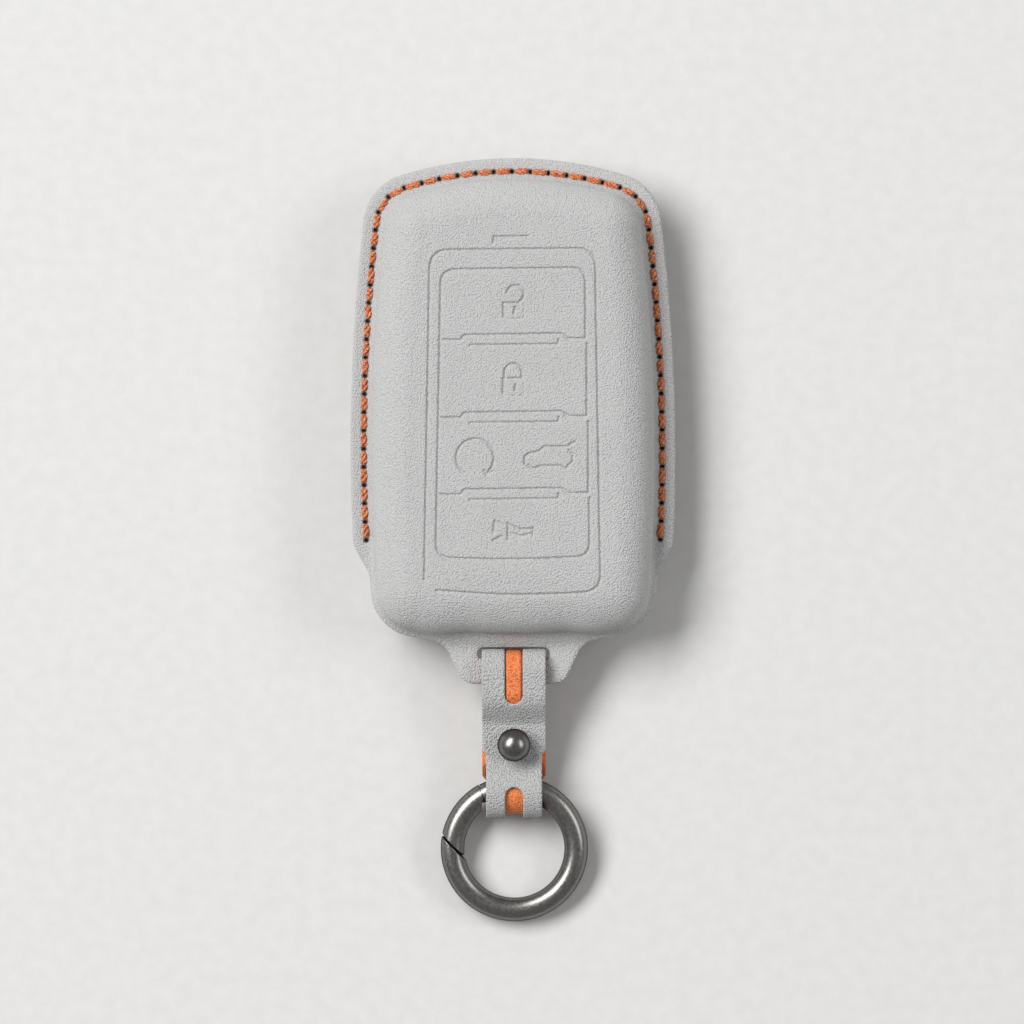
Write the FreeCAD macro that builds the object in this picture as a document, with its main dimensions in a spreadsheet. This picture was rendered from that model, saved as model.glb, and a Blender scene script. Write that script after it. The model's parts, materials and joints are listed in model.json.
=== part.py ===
import FreeCAD, Part
import math
import os
import re

import Sketcher
from FreeCAD import Placement, Rotation, Vector

# Key fob cover: two moulded suede halves sewn along a rim, a lined strap looped through the
# tab at the mouth and round a spring-gate ring, and a ball stud that clamps the strap.
# It lies on its back: X to the right, Y up the case, Z towards the front. The origin is the
# middle of the flat back. The halves meet at the seam plane, back_depth above the table.

# Driving sizes, in millimetres and degrees
SIZES = {
    # dome that holds the fob, on the outside of the leather at its foot
    "dome_width": 47.8,            # across the widest line
    "dome_top": 39.2,              # crown above the middle of the back
    "dome_mouth": 38.9,            # lowest point below the middle of the back
    "waist_drop": 6.6,             # widest line below the middle of the back
    "crown_radius": 60.4,
    "side_radius": 326.4,
    "chin_radius": 79.0,
    "shoulder_radius": 6.8,        # upper corners
    "jaw_radius": 6.8,             # lower corners
    "front_depth": 10.0,           # seam plane to the front face
    "back_depth": 7.5,             # seam plane to the back face
    "front_edge_radius": 6.4,      # rounding of the front face's border
    "back_edge_radius": 5.2,
    "foot_radius": 0.6,            # hollow rounding where the dome meets the rim
    "wall_land": 0.2,              # least straight wall left beside a large rounding
    "leather": 1.4,
    "lining": 0.5,
    "glue_line": 0.1,
    # rim, lip and tab
    "rim_width": 3.6,
    "rim_shoulder_radius": 8.9,
    "rim_end_drop": 22.6,          # where the sewn rim starts to taper in, below the middle
    "rim_end_run": 8.4,            # length along Y of the taper's straight line
    "rim_end_inset": 1.5,          # how far the taper's line runs in under the dome
    "rim_end_round": 4.0,
    "lip_width": 1.1,              # lip round the open mouth
    "edge_round": 0.35,            # rounding of the cut edges
    "slot_land": 1.1,              # leather between the dome and the slot
    "slot_play": 0.2,              # strap to the slot's upper edge
    "slot_side_play": 0.7,         # strap's edge to the slot's end
    "tab_bar": 4.2,                # bar below the slot, along Y
    "tab_foot_cheek": 2.5,         # beside the slot, at the tab's lower edge
    "tab_root_cheek": 5.7,         # beside the slot, at the dome's mouth
    "tab_foot_round": 3.0,
    "tab_root_round": 4.0,
    # seam
    "stitch_margin": 2.3,          # seam line to the rim's edge
    "stitch_end_drop": 21.8,       # last stitches below the middle of the back
    "stitch_count": 52,
    "stitch_fill": 0.9,            # thread shown per pitch
    "stitch_width": 1.1,
    "stitch_height": 0.6,
    "stitch_slant": 7.0,
    # strap
    "strap_grey": 0.76,            # thickness of the suede layer
    "strap_orange": 0.5,           # thickness of the lining layer
    "strap_width": 10.8,
    "neck_width": 9.5,
    "neck_front_drop": 0.8,        # start of the front neck below the stud
    "neck_back_drop": 6.0,         # start of the back neck below the stud
    "neck_taper": 1.2,
    "tab_play": 0.1,               # tab bar's corner to the strap
    "ply_gap": 0.06,               # between the clamped layers
    "pinch_radius": 1.2,           # bends beside the clamp
    "upper_free_run": 7.85,        # straight strap between clamp and tab loop
    "lower_free_run": 1.9,         # straight strap between clamp and ring loop
    "under_end_reach": 4.6,        # hidden strap end beyond the stud
    "end_round": 2.6,              # corners of the outer strap end
    "window_width": 3.0,
    "upper_window_end": 5.2,       # below the tab bar's middle
    "lower_window_end": 1.4,       # above the ring's swing axis
    # stud
    "ball_diameter": 5.6,
    "seat_diameter": 3.8,          # flat under the ball
    "post_diameter": 3.2,
    "post_play": 0.1,
    "post_short": 0.4,             # post ends this far inside the clamped layers
    "screw_diameter": 2.2,
    "screw_play": 0.05,
    "screw_reach": 1.6,            # screw into the ball above its seat
    "head_diameter": 5.6,
    "head_height": 1.0,
    "head_edge": 0.5,
    "head_slot_width": 0.8,
    "head_slot_depth": 0.45,
    "clamp_margin": 0.25,          # flat strap beyond the screw head
    # ring
    "ring_radius": 10.5,           # to the middle of the wire
    "wire_radius": 2.0,
    "loop_slack": 0.55,            # room for the ring in the strap loop
    "floor_gap": 0.05,             # strap loop and ring above the table
    "gate_angle": 176.7,           # slanted joint, counted from +X about the ring
    "gate_slant": 45.0,
    "gate_gap": 0.15,
    "gate_edge": 0.28,             # rounding of both edges of the joint
    "hinge_angle": 114.5,
    "hinge_end": 0.9,              # fork's end beyond the pin
    "hinge_gap": 0.12,
    "hinge_relief": 32.0,          # slant that lets the gate swing inwards
    "tongue_thickness": 1.3,
    "tongue_radius": 1.35,
    "tongue_play": 0.12,           # each side of the tongue
    "tongue_clear": 0.35,          # round the tongue's end
    "pin_radius": 0.45,
    "pin_play": 0.04,
    "pin_short": 0.25,             # pin ends below the wire's surface
    "spring_offset": 0.55,         # spring axis inwards from the pin
    "spring_radius": 0.5,
    "spring_wire": 0.22,
    "spring_turns": 5,
    "spring_pitch": 0.64,
    "spring_play": 0.1,            # coil to its bore
    "spring_start": 0.03,          # coil to the gate's heel
}

doc = FreeCAD.newDocument("key_fob_cover")
sheet = doc.addObject("Spreadsheet::Sheet", "Sizes")
for row, (alias, size) in enumerate(SIZES.items(), 1):
    sheet.set(f"A{row}", alias)
    sheet.set(f"B{row}", str(size))
    sheet.setAlias(f"B{row}", alias)
doc.recompute()


def cell(text):
    """Turn the size names in a formula into references to the sheet."""
    return re.sub(r"[a-z][a-z_]+", lambda word: f"Sizes.{word[0]}" if word[0] in SIZES else word[0], text)


def value(text):
    """Work out a formula of size names as a number."""
    result = sheet.evalExpression(cell(text))
    return getattr(result, "Value", result)


def bind(item, name, text):
    """Tie a property to a formula of size names."""
    item.setExpression(name, cell(text))


# Sizes that follow from the driving ones
STRAP = "(strap_grey + strap_orange)"
TAB_LOOP = "(sqrt((tab_bar / 2) ^ 2 + leather ^ 2) + tab_play)"
TAB_DROP = f"(dome_mouth + slot_land + slot_play + {TAB_LOOP} + {STRAP})"
SLOT_WIDTH = "(strap_width + 2 * slot_side_play)"
RING_INNER = "(ring_radius - wire_radius)"
RING_OUTER = "(ring_radius + wire_radius)"
RING_REACH = f"((sqrt({RING_INNER} ^ 2 - (neck_width / 2) ^ 2) + {RING_OUTER}) / 2)"
RING_LOOP = f"({RING_OUTER} - {RING_REACH} + loop_slack)"
CLAMP = "(head_diameter / 2 + clamp_margin)"
PINCH = f"(pinch_radius + {STRAP})"
PINCH_LIFT = f"(ply_gap / 2 + {PINCH})"
UPPER_RUN = f"sqrt(({PINCH} + {TAB_LOOP}) ^ 2 + upper_free_run ^ 2 - {PINCH_LIFT} ^ 2)"
STUD_DROP = f"({CLAMP} + {UPPER_RUN})"
LOWER_RUN = f"sqrt(({PINCH} + {RING_LOOP}) ^ 2 + lower_free_run ^ 2 - {PINCH_LIFT} ^ 2)"
RING_DROP = f"({STUD_DROP} + {CLAMP} + {LOWER_RUN})"
STRAP_TILT = f"asin((back_depth - {RING_LOOP} - {STRAP} - floor_gap) / {RING_DROP})"
RING_LIFT = f"({RING_LOOP} + {STRAP} + floor_gap)"
RING_TILT = f"asin(({RING_LIFT} - wire_radius - floor_gap) / ({RING_REACH} + ring_radius))"
STACK_TOP = f"(ply_gap / 2 + {STRAP})"
STACK_FOOT = f"(1.5 * ply_gap + 2 * {STRAP})"
FRONT_EDGE = (
    "min(front_edge_radius; shoulder_radius - wall_land; jaw_radius - wall_land;"
    " front_depth - leather - foot_radius - wall_land)"
)
BACK_EDGE = (
    "min(back_edge_radius; shoulder_radius - wall_land; jaw_radius - wall_land;"
    " back_depth - leather - foot_radius - wall_land)"
)


# Sketch helpers
def new_body(label):
    body = doc.addObject("PartDesign::Body", label)
    body.Label = label
    return body


def new_sketch(body, name, role="XY_Plane", lift=None):
    """Make a sketch on one of the body's origin planes, moved along its normal by a formula."""
    plane = next(item for item in body.Origin.OriginFeatures if item.Role == role)
    sketch = body.newObject("Sketcher::SketchObject", name)
    sketch.AttachmentSupport = (plane, [""])
    sketch.MapMode = "FlatFace"
    if lift:
        bind(sketch, "AttachmentOffset.Base.z", lift)
    return sketch


def constrain(sketch, kind, *args, text=None):
    """Add a constraint, tied to a formula where one is given."""
    if text is None:
        sketch.addConstraint(Sketcher.Constraint(kind, *args))
        return
    index = sketch.addConstraint(Sketcher.Constraint(kind, *args, value(text)))
    bind(sketch, f"Constraints[{index}]", text)


def pin_point(sketch, geometry, point, across, up):
    """Fix a point of a sketch by formulas for its two coordinates."""
    for kind, axis, text in (("DistanceX", -2, across), ("DistanceY", -1, up)):
        if text == "0":
            constrain(sketch, "PointOnObject", geometry, point, axis)
        else:
            constrain(sketch, kind, -1, 1, geometry, point, text=text)


def polygon(sketch, corners):
    """Draw a closed outline of straight lines with its corners fixed by formulas."""
    points = [Vector(value(across), value(up), 0) for across, up in corners]
    lines = [sketch.addGeometry(Part.LineSegment(a, b)) for a, b in zip(points, points[1:] + points[:1])]
    for line, after in zip(lines, lines[1:] + lines[:1]):
        constrain(sketch, "Coincident", line, 2, after, 1)
    for line, (across, up) in zip(lines, corners):
        pin_point(sketch, line, 1, across, up)


def circle(sketch, across, up, radius):
    """Draw a circle fixed by formulas."""
    middle = Vector(value(across), value(up), 0)
    ring = sketch.addGeometry(Part.Circle(middle, Vector(0, 0, 1), value(radius)))
    pin_point(sketch, ring, 3, across, up)
    constrain(sketch, "Radius", ring, text=radius)


def obround(sketch, half_length, radius, up):
    """Draw a slot along X with round ends, centred on the Y axis."""
    reach, size, level = value(half_length), value(radius), value(up)
    ends = []
    for side in (1, -1):
        middle = Vector(side * reach, level, 0)
        turn = Part.Circle(middle, Vector(0, 0, 1), size)
        start = -math.pi / 2 if side > 0 else math.pi / 2
        ends.append(sketch.addGeometry(Part.ArcOfCircle(turn, start, start + math.pi)))
    right, left = ends
    upper_ends = (Vector(reach, level + size, 0), Vector(-reach, level + size, 0))
    lower_ends = (Vector(-reach, level - size, 0), Vector(reach, level - size, 0))
    upper, lower = (sketch.addGeometry(Part.LineSegment(*line)) for line in (upper_ends, lower_ends))
    for first, second in ((right, upper), (upper, left), (left, lower), (lower, right)):
        constrain(sketch, "Tangent", first, 2, second, 1)
    constrain(sketch, "Radius", right, text=radius)
    pin_point(sketch, right, 3, half_length, up)
    pin_point(sketch, left, 3, f"-{half_length}", up)


# Features
def pad(body, sketch, length, reverse=False, both_ways=False):
    feature = body.newObject("PartDesign::Pad", f"{sketch.Name}_pad")
    feature.Profile = sketch
    bind(feature, "Length", length)
    feature.Reversed = reverse
    if both_ways:
        feature.SideType = "Symmetric"
    doc.recompute()
    return feature


def pocket(body, sketch, length=None, upward=False, both_ways=False):
    """Cut a sketch out of the body, through all of it where no length is given."""
    before = body.Tip.Shape.Volume
    feature = body.newObject("PartDesign::Pocket", f"{sketch.Name}_cut")
    feature.Profile = sketch
    if length:
        bind(feature, "Length", length)
    else:
        feature.Type = "ThroughAll"
    feature.Reversed = upward
    if both_ways:
        feature.SideType = "Symmetric"
    doc.recompute()
    if not feature.Shape.Volume < before:
        raise RuntimeError(f"{feature.Name} cuts nothing")
    return feature


def revolve(body, sketch):
    """Turn a sketch once round the body's Z axis."""
    feature = body.newObject("PartDesign::Revolution", f"{sketch.Name}_turn")
    feature.Profile = sketch
    feature.ReferenceAxis = (sketch, ["V_Axis"])
    feature.Angle = 360
    doc.recompute()
    return feature


def fillet(body, name, edges, radius):
    base = body.Tip
    feature = body.newObject("PartDesign::Fillet", name)
    names = [f"Edge{i}" for i, edge in enumerate(base.Shape.Edges, 1) if any(edge.isSame(e) for e in edges)]
    feature.Base = (base, names)
    bind(feature, "Radius", radius)
    doc.recompute()
    return feature


def level_face(shape, height):
    """Find the largest flat face that lies level at a height."""
    faces = [
        face
        for face in shape.Faces
        if isinstance(face.Surface, Part.Plane)
        and abs(abs(face.Surface.Axis.z) - 1) < 1e-6
        and abs(face.CenterOfMass.z - height) < 1e-4
    ]
    return max(faces, key=lambda face: face.Area)


def is_sharp(shape, edge):
    """Tell whether the two faces beside an edge meet at an angle."""
    middle = edge.valueAt((edge.FirstParameter + edge.LastParameter) / 2)
    faces = shape.ancestorsOfType(edge, Part.Face)
    normals = [face.normalAt(*face.Surface.parameter(middle)) for face in faces]
    return normals[0].cross(normals[1]).Length > 0.05


def upright_corners(shape):
    """Find the upright edges at which an outline has a corner."""
    upright = [
        edge
        for edge in shape.Edges
        if isinstance(edge.Curve, Part.Line) and abs(abs(edge.Curve.Direction.z) - 1) < 1e-6
    ]
    return [edge for edge in upright if is_sharp(shape, edge)]


# Outline of the case
def crossing(first, first_radius, second, second_radius, above):
    """Find where two circles cross on the right of the case, above or below its waist."""
    apart = second - first
    along = (apart.Length**2 + first_radius**2 - second_radius**2) / (2 * apart.Length)
    aside = math.sqrt(first_radius**2 - along**2)
    unit = apart / apart.Length
    sides = [first + unit * along + Vector(-unit.y, unit.x, 0) * aside * sign for sign in (1, -1)]
    return max(sides, key=lambda point: point.y if above else -point.y)


def mirrored(point):
    return Vector(-point.x, point.y, 0)


class CaseOutline:
    """Eight arcs round the case, a formula's distance outside the dome's foot."""

    def __init__(self, grow, shoulder, jaw):
        self.texts = {
            "side": f"side_radius + {grow}",
            "top": f"crown_radius + {grow}",
            "chin": f"chin_radius + {grow}",
            "shoulder": shoulder,
            "jaw": jaw,
        }
        self.radius = {name: value(text) for name, text in self.texts.items()}
        self.centre = {
            "side": Vector(value("dome_width / 2 - side_radius"), -value("waist_drop"), 0),
            "top": Vector(0, value("dome_top - crown_radius"), 0),
            "chin": Vector(0, value("chin_radius - dome_mouth"), 0),
        }
        for corner, end in (("shoulder", "top"), ("jaw", "chin")):
            self.centre[corner] = crossing(
                self.centre[end],
                self.radius[end] - self.radius[corner],
                self.centre["side"],
                self.radius["side"] - self.radius[corner],
                above=corner == "shoulder",
            )
        self.side_shoulder = self.touch("side", "shoulder")
        self.shoulder_top = self.touch("top", "shoulder")
        self.side_jaw = self.touch("side", "jaw")
        self.jaw_chin = self.touch("chin", "jaw")

    def touch(self, large, small):
        """Point where a corner's arc meets a longer one."""
        away = self.centre[small] - self.centre[large]
        return self.centre[large] + away * (self.radius[large] / away.Length)

    def side_at(self, height):
        """Point on the right side at a height."""
        middle = self.centre["side"]
        return Vector(middle.x + math.sqrt(self.radius["side"] ** 2 - (height - middle.y) ** 2), height, 0)

    def arc(self, name, start, end, left=False):
        """Arc of one stretch of the outline, drawn anticlockwise."""
        middle = mirrored(self.centre[name]) if left else self.centre[name]
        turn = Part.Circle(middle, Vector(0, 0, 1), self.radius[name])
        angles = [math.atan2(point.y - middle.y, point.x - middle.x) for point in (start, end)]
        if angles[1] < angles[0]:
            angles[1] += 2 * math.pi
        return Part.ArcOfCircle(turn, *angles)

    def over_the_top(self, start):
        """Arcs from a point on the right side over the crown to its mirror on the left."""
        return [
            self.arc("side", start, self.side_shoulder),
            self.arc("shoulder", self.side_shoulder, self.shoulder_top),
            self.arc("top", self.shoulder_top, mirrored(self.shoulder_top)),
            self.arc("shoulder", mirrored(self.shoulder_top), mirrored(self.side_shoulder), left=True),
            self.arc("side", mirrored(self.side_shoulder), mirrored(start), left=True),
        ]

    def tie_top(self, sketch, arcs):
        """Tie the upper five arcs to the sheet and to each other."""
        right, _, top, _, left = arcs
        for first, second in zip(arcs, arcs[1:]):
            constrain(sketch, "Tangent", first, 2, second, 1)
        pin_point(sketch, right, 3, "dome_width / 2 - side_radius", "-waist_drop")
        pin_point(sketch, left, 3, "side_radius - dome_width / 2", "-waist_drop")
        pin_point(sketch, top, 3, "0", "dome_top - crown_radius")
        for item, name in zip(arcs, ("side", "shoulder", "top", "shoulder", "side")):
            constrain(sketch, "Radius", item, text=self.texts[name])

    def draw(self, sketch):
        """Draw the whole outline."""
        upper = [sketch.addGeometry(arc) for arc in self.over_the_top(self.side_jaw)]
        self.tie_top(sketch, upper)
        lower = [
            sketch.addGeometry(self.arc("jaw", mirrored(self.side_jaw), mirrored(self.jaw_chin), left=True)),
            sketch.addGeometry(self.arc("chin", mirrored(self.jaw_chin), self.jaw_chin)),
            sketch.addGeometry(self.arc("jaw", self.jaw_chin, self.side_jaw)),
        ]
        chain = [upper[-1]] + lower + [upper[0]]
        for first, second in zip(chain, chain[1:]):
            constrain(sketch, "Tangent", first, 2, second, 1)
        pin_point(sketch, lower[1], 3, "0", "chin_radius - dome_mouth")
        for item, name in zip(lower, ("jaw", "chin", "jaw")):
            constrain(sketch, "Radius", item, text=self.texts[name])

    def draw_rim(self, sketch):
        """Draw the sewn rim, which tapers in under the dome at both lower ends."""
        start = self.side_at(-value("rim_end_drop"))
        upper = [sketch.addGeometry(arc) for arc in self.over_the_top(start)]
        self.tie_top(sketch, upper)
        inner_x, inner_y = "dome_width / 2 - rim_end_inset", "-(rim_end_drop + rim_end_run)"
        inner = Vector(value(inner_x), value(inner_y), 0)
        taper_left = sketch.addGeometry(Part.LineSegment(mirrored(start), mirrored(inner)))
        across = sketch.addGeometry(Part.LineSegment(mirrored(inner), inner))
        taper_right = sketch.addGeometry(Part.LineSegment(inner, start))
        chain = [upper[-1], taper_left, across, taper_right, upper[0]]
        for first, second in zip(chain, chain[1:]):
            constrain(sketch, "Coincident", first, 2, second, 1)
        pin_point(sketch, across, 2, inner_x, inner_y)
        pin_point(sketch, across, 1, f"-({inner_x})", inner_y)
        constrain(sketch, "DistanceY", -1, 1, taper_left, 1, text="-rim_end_drop")
        constrain(sketch, "DistanceY", -1, 1, taper_right, 2, text="-rim_end_drop")


# Case halves
def dome_outline(grow):
    return CaseOutline(grow, f"shoulder_radius + {grow}", f"jaw_radius + {grow}")


def make_shell(label, depth, edge, front):
    """Moulded leather half: dome, sewn rim, mouth lip and slotted tab, hollow from the seam plane."""
    body = new_body(label)
    seam, sign = value("back_depth"), 1 if front else -1

    def sketch(name):
        return new_sketch(body, f"{label}_{name}", lift="back_depth")

    lip = sketch("lip")
    dome_outline("lip_width").draw(lip)
    pad(body, lip, "leather", reverse=not front)
    rim = sketch("rim")
    CaseOutline("rim_width", "rim_shoulder_radius", "jaw_radius + rim_width").draw_rim(rim)
    pad(body, rim, "leather", reverse=not front)
    tab = sketch("tab")
    foot, root = f"({SLOT_WIDTH} / 2 + tab_foot_cheek)", f"({SLOT_WIDTH} / 2 + tab_root_cheek)"
    tab_foot, tab_root = f"-({TAB_DROP} + tab_bar / 2)", "-dome_mouth"
    polygon(tab, [(root, tab_root), (f"-{root}", tab_root), (f"-{foot}", tab_foot), (foot, tab_foot)])
    plates = pad(body, tab, "leather", reverse=not front)

    corners = upright_corners(plates.Shape)
    tab_level = -value("dome_mouth") + value("lip_width")
    lowest = min(edge.CenterOfMass.y for edge in corners)
    fillet(body, f"{label}_rim_ends", [e for e in corners if e.CenterOfMass.y > tab_level], "rim_end_round")
    corners = upright_corners(body.Tip.Shape)
    roots = [e for e in corners if lowest + 1 < e.CenterOfMass.y < tab_level]
    fillet(body, f"{label}_tab_roots", roots, "tab_root_round")
    feet = [e for e in upright_corners(body.Tip.Shape) if e.CenterOfMass.y < lowest + 1]
    fillet(body, f"{label}_tab_feet", feet, "tab_foot_round")

    dome = sketch("dome")
    dome_outline("0").draw(dome)
    pad(body, dome, depth, reverse=not front)
    cavity = sketch("cavity")
    dome_outline("(0 - leather)").draw(cavity)
    pocket(body, cavity, f"{depth} - leather", upward=front)
    roof = level_face(body.Tip.Shape, seam + sign * value(f"{depth} - leather"))
    fillet(body, f"{label}_cavity_edge", roof.OuterWire.Edges, f"{edge} - leather")
    face = level_face(body.Tip.Shape, seam + sign * value(depth))
    fillet(body, f"{label}_dome_edge", face.OuterWire.Edges, edge)
    rim_level = seam + sign * value("leather")
    plate = level_face(body.Tip.Shape, rim_level)
    foot_wire = next(wire for wire in plate.Wires if not wire.isSame(plate.OuterWire))
    fillet(body, f"{label}_dome_foot", foot_wire.Edges, "foot_radius")

    slot = sketch("slot")
    height = f"(slot_play + {TAB_LOOP} + {STRAP} - tab_bar / 2)"
    slot_drop = f"({TAB_DROP} - tab_bar / 2 - {height} / 2)"
    obround(slot, f"({SLOT_WIDTH} - {height}) / 2", f"{height} / 2", f"-{slot_drop}")
    pocket(body, slot, both_ways=True)
    plate = level_face(body.Tip.Shape, rim_level)
    slot_edges = [
        edge
        for wire in plate.Wires
        for edge in wire.Edges
        if wire.BoundBox.YMax < -value("dome_mouth") or wire.isSame(plate.OuterWire)
    ]
    fillet(body, f"{label}_cut_edges", slot_edges, "edge_round")
    return body


def make_lining(label, depth, edge, front):
    """Thin lining glued inside one half, from the seam plane up."""
    body = new_body(label)
    seam, sign = value("back_depth"), 1 if front else -1
    outside, inside = "(leather + glue_line)", "(leather + glue_line + lining)"
    outer = new_sketch(body, f"{label}_outer", lift="back_depth")
    dome_outline(f"(0 - {outside})").draw(outer)
    pad(body, outer, f"{depth} - {outside}", reverse=not front)
    inner = new_sketch(body, f"{label}_inner", lift="back_depth")
    dome_outline(f"(0 - {inside})").draw(inner)
    pocket(body, inner, f"{depth} - {inside}", upward=front)
    for side, inset in (("inner", inside), ("outer", outside)):
        face = level_face(body.Tip.Shape, seam + sign * value(f"{depth} - {inset}"))
        fillet(body, f"{label}_{side}_edge", face.OuterWire.Edges, f"{edge} - {inset}")
    return body


def make_stitches(label, front):
    """Row of separate thread stitches lying on one side of the rim."""
    grow = "(rim_width - stitch_margin)"
    seam = CaseOutline(grow, "rim_shoulder_radius - stitch_margin", f"jaw_radius + {grow}")
    arcs = seam.over_the_top(seam.side_at(-value("stitch_end_drop")))
    line = Part.Wire([arc.toShape() for arc in arcs])
    count = int(value("stitch_count"))
    places = line.discretize(Number=count + 1)
    lift = Vector(0, 0, 1 if front else -1)
    level = Vector(0, 0, value("back_depth")) + lift * value("leather")
    width, height = value("stitch_width / 2"), value("stitch_height")
    # half a stitch's section, as shares of its half width and its height
    section = [(-1, 0), (-0.7, 0.8), (0, 1), (0.7, 0.8), (1, 0)]
    solids = []
    for start, end in zip(places, places[1:]):
        along = (end - start).normalize()
        along = Rotation(lift, value("stitch_slant")).multVec(along)
        aside = lift.cross(along)
        half = (end - start).Length * value("stitch_fill") / 2
        profiles = []
        for station, share in ((-half, 0.5), (0, 1), (half, 0.5)):
            foot = (start + end) / 2 + level + along * station
            points = [foot + aside * (a * width * share) + lift * (b * height * share) for a, b in section]
            profiles.append(Part.makePolygon(points + points[:1]))
        solids.append(Part.makeLoft(profiles, True, True))
    row = doc.addObject("Part::Feature", label)
    row.Shape = Part.makeCompound(solids)
    row.Label = label
    return row


# Strap
def place_on_strap(item, drop):
    """Put an item on the drooping strap, a formula's distance below the tab bar."""
    item.Placement = Placement(Vector(), Rotation(Vector(1, 0, 0), value(STRAP_TILT)))
    bind(item, "Placement.Base.y", f"-({TAB_DROP}) - {drop} * cos({STRAP_TILT})")
    bind(item, "Placement.Base.z", f"back_depth - {drop} * sin({STRAP_TILT})")
    bind(item, "Placement.Rotation.Angle", STRAP_TILT)


def strap_bends(offset):
    """The strap's six bends in order from its outer end, at a formula's distance from its inside.

    Each has a place along the strap, a height, a radius and the way that it turns.
    """
    above, below = f"-({STUD_DROP} - {CLAMP})", f"-({STUD_DROP} + {CLAMP})"
    pinch = f"({PINCH} - {offset})"
    return [
        (above, f"-(1.5 * ply_gap + {STRAP} + {PINCH})", pinch, -1),
        ("0", "0", f"({TAB_LOOP} + {offset})", 1),
        (above, PINCH_LIFT, pinch, -1),
        (below, PINCH_LIFT, pinch, -1),
        (f"-{RING_DROP}", "0", f"({RING_LOOP} + {offset})", 1),
        (below, f"-{PINCH_LIFT}", pinch, -1),
    ]


def common_tangent(first, second):
    """Ends of the straight run between two bends, each a middle, a radius and a turn."""
    apart = second[0] - first[0]
    unit = apart / apart.Length
    lean = (second[2] * second[1] - first[2] * first[1]) / apart.Length
    normal = unit * lean + Vector(-unit.y, unit.x, 0) * math.sqrt(1 - lean**2)
    return [middle - normal * (turn * radius) for middle, radius, turn in (first, second)]


def draw_strap_side(sketch, offset):
    """Draw one face of the strap from its outer end to its hidden end; returns its two end lines."""
    texts = strap_bends(offset)
    bends = [(Vector(value(x), value(y), 0), value(radius), turn) for x, y, radius, turn in texts]
    runs = [common_tangent(a, b) for a, b in zip(bends, bends[1:])]
    first, last = bends[0], bends[-1]
    outer_end, hidden_end = f"-({STUD_DROP} + {CLAMP})", f"-({STUD_DROP} - under_end_reach)"
    enter = Vector(first[0].x, first[0].y + first[1], 0)
    leave = Vector(last[0].x, last[0].y + last[1], 0)
    runs.insert(0, [Vector(value(outer_end), enter.y, 0), enter])
    runs.append([leave, Vector(value(hidden_end), leave.y, 0)])
    lines = [sketch.addGeometry(Part.LineSegment(*run)) for run in runs]
    for number, (middle, radius, turn) in enumerate(bends):
        ends = (runs[number][1], runs[number + 1][0])
        start, end = ends if turn > 0 else ends[::-1]
        angles = [math.atan2(point.y - middle.y, point.x - middle.x) for point in (start, end)]
        if angles[1] < angles[0]:
            angles[1] += 2 * math.pi
        arc = sketch.addGeometry(Part.ArcOfCircle(Part.Circle(middle, Vector(0, 0, 1), radius), *angles))
        entry, exit_ = (1, 2) if turn > 0 else (2, 1)
        constrain(sketch, "Tangent", lines[number], 2, arc, entry)
        constrain(sketch, "Tangent", arc, exit_, lines[number + 1], 1)
        across, up, size, _ = texts[number]
        pin_point(sketch, arc, 3, across, up)
        constrain(sketch, "Radius", arc, text=size)
    constrain(sketch, "Horizontal", lines[0])
    constrain(sketch, "Horizontal", lines[-1])
    constrain(sketch, "DistanceX", -1, 1, lines[0], 1, text=outer_end)
    constrain(sketch, "DistanceX", -1, 1, lines[-1], 2, text=hidden_end)
    return lines[0], lines[-1]


def make_strap_layer(label, near, far, windows):
    """One layer of the strap between two distances from its inside."""
    body = new_body(label)
    ribbon = new_sketch(body, f"{label}_ribbon", role="YZ_Plane")
    inner = draw_strap_side(ribbon, near)
    outer = draw_strap_side(ribbon, far)
    for number, point in ((0, 1), (1, 2)):
        ends = [
            ribbon.getPoint(side[number], point)
            for side in (inner, outer)
        ]
        cap = ribbon.addGeometry(Part.LineSegment(*ends))
        constrain(ribbon, "Coincident", cap, 1, inner[number], point)
        constrain(ribbon, "Coincident", cap, 2, outer[number], point)
    pad(body, ribbon, "strap_width", both_ways=True)

    end_y = -value(f"{STUD_DROP} + {CLAMP}")
    corners = [
        edge
        for edge in upright_corners(body.Tip.Shape)
        if abs(edge.CenterOfMass.y - end_y) < 1e-3 and edge.CenterOfMass.z < 0
    ]
    fillet(body, f"{label}_end", corners, "end_round")

    beyond = f"({RING_DROP} + {RING_LOOP} + {STRAP} + neck_taper)"
    wide, narrow = "(strap_width / 2 + neck_taper)", "(neck_width / 2)"
    for side, start, upward in (
        ("front", f"({STUD_DROP} + neck_front_drop)", True),
        ("back", f"({STUD_DROP} + neck_back_drop)", False),
    ):
        for hand, sign in (("right", ""), ("left", "-")):
            neck = new_sketch(body, f"{label}_neck_{side}_{hand}")
            taper_top = f"-({start} - neck_taper)"
            polygon(
                neck,
                [
                    (f"{sign}{wide}", taper_top),
                    (f"{sign}{narrow}", f"-({start} + neck_taper)"),
                    (f"{sign}{narrow}", f"-{beyond}"),
                    (f"{sign}{wide}", f"-{beyond}"),
                ],
            )
            pocket(body, neck, upward=upward)
    hole = new_sketch(body, f"{label}_hole")
    circle(hole, "0", f"-{STUD_DROP}", "post_diameter / 2 + post_play")
    pocket(body, hole, both_ways=True)
    if windows:
        add_windows(body, label)
    return body


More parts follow.
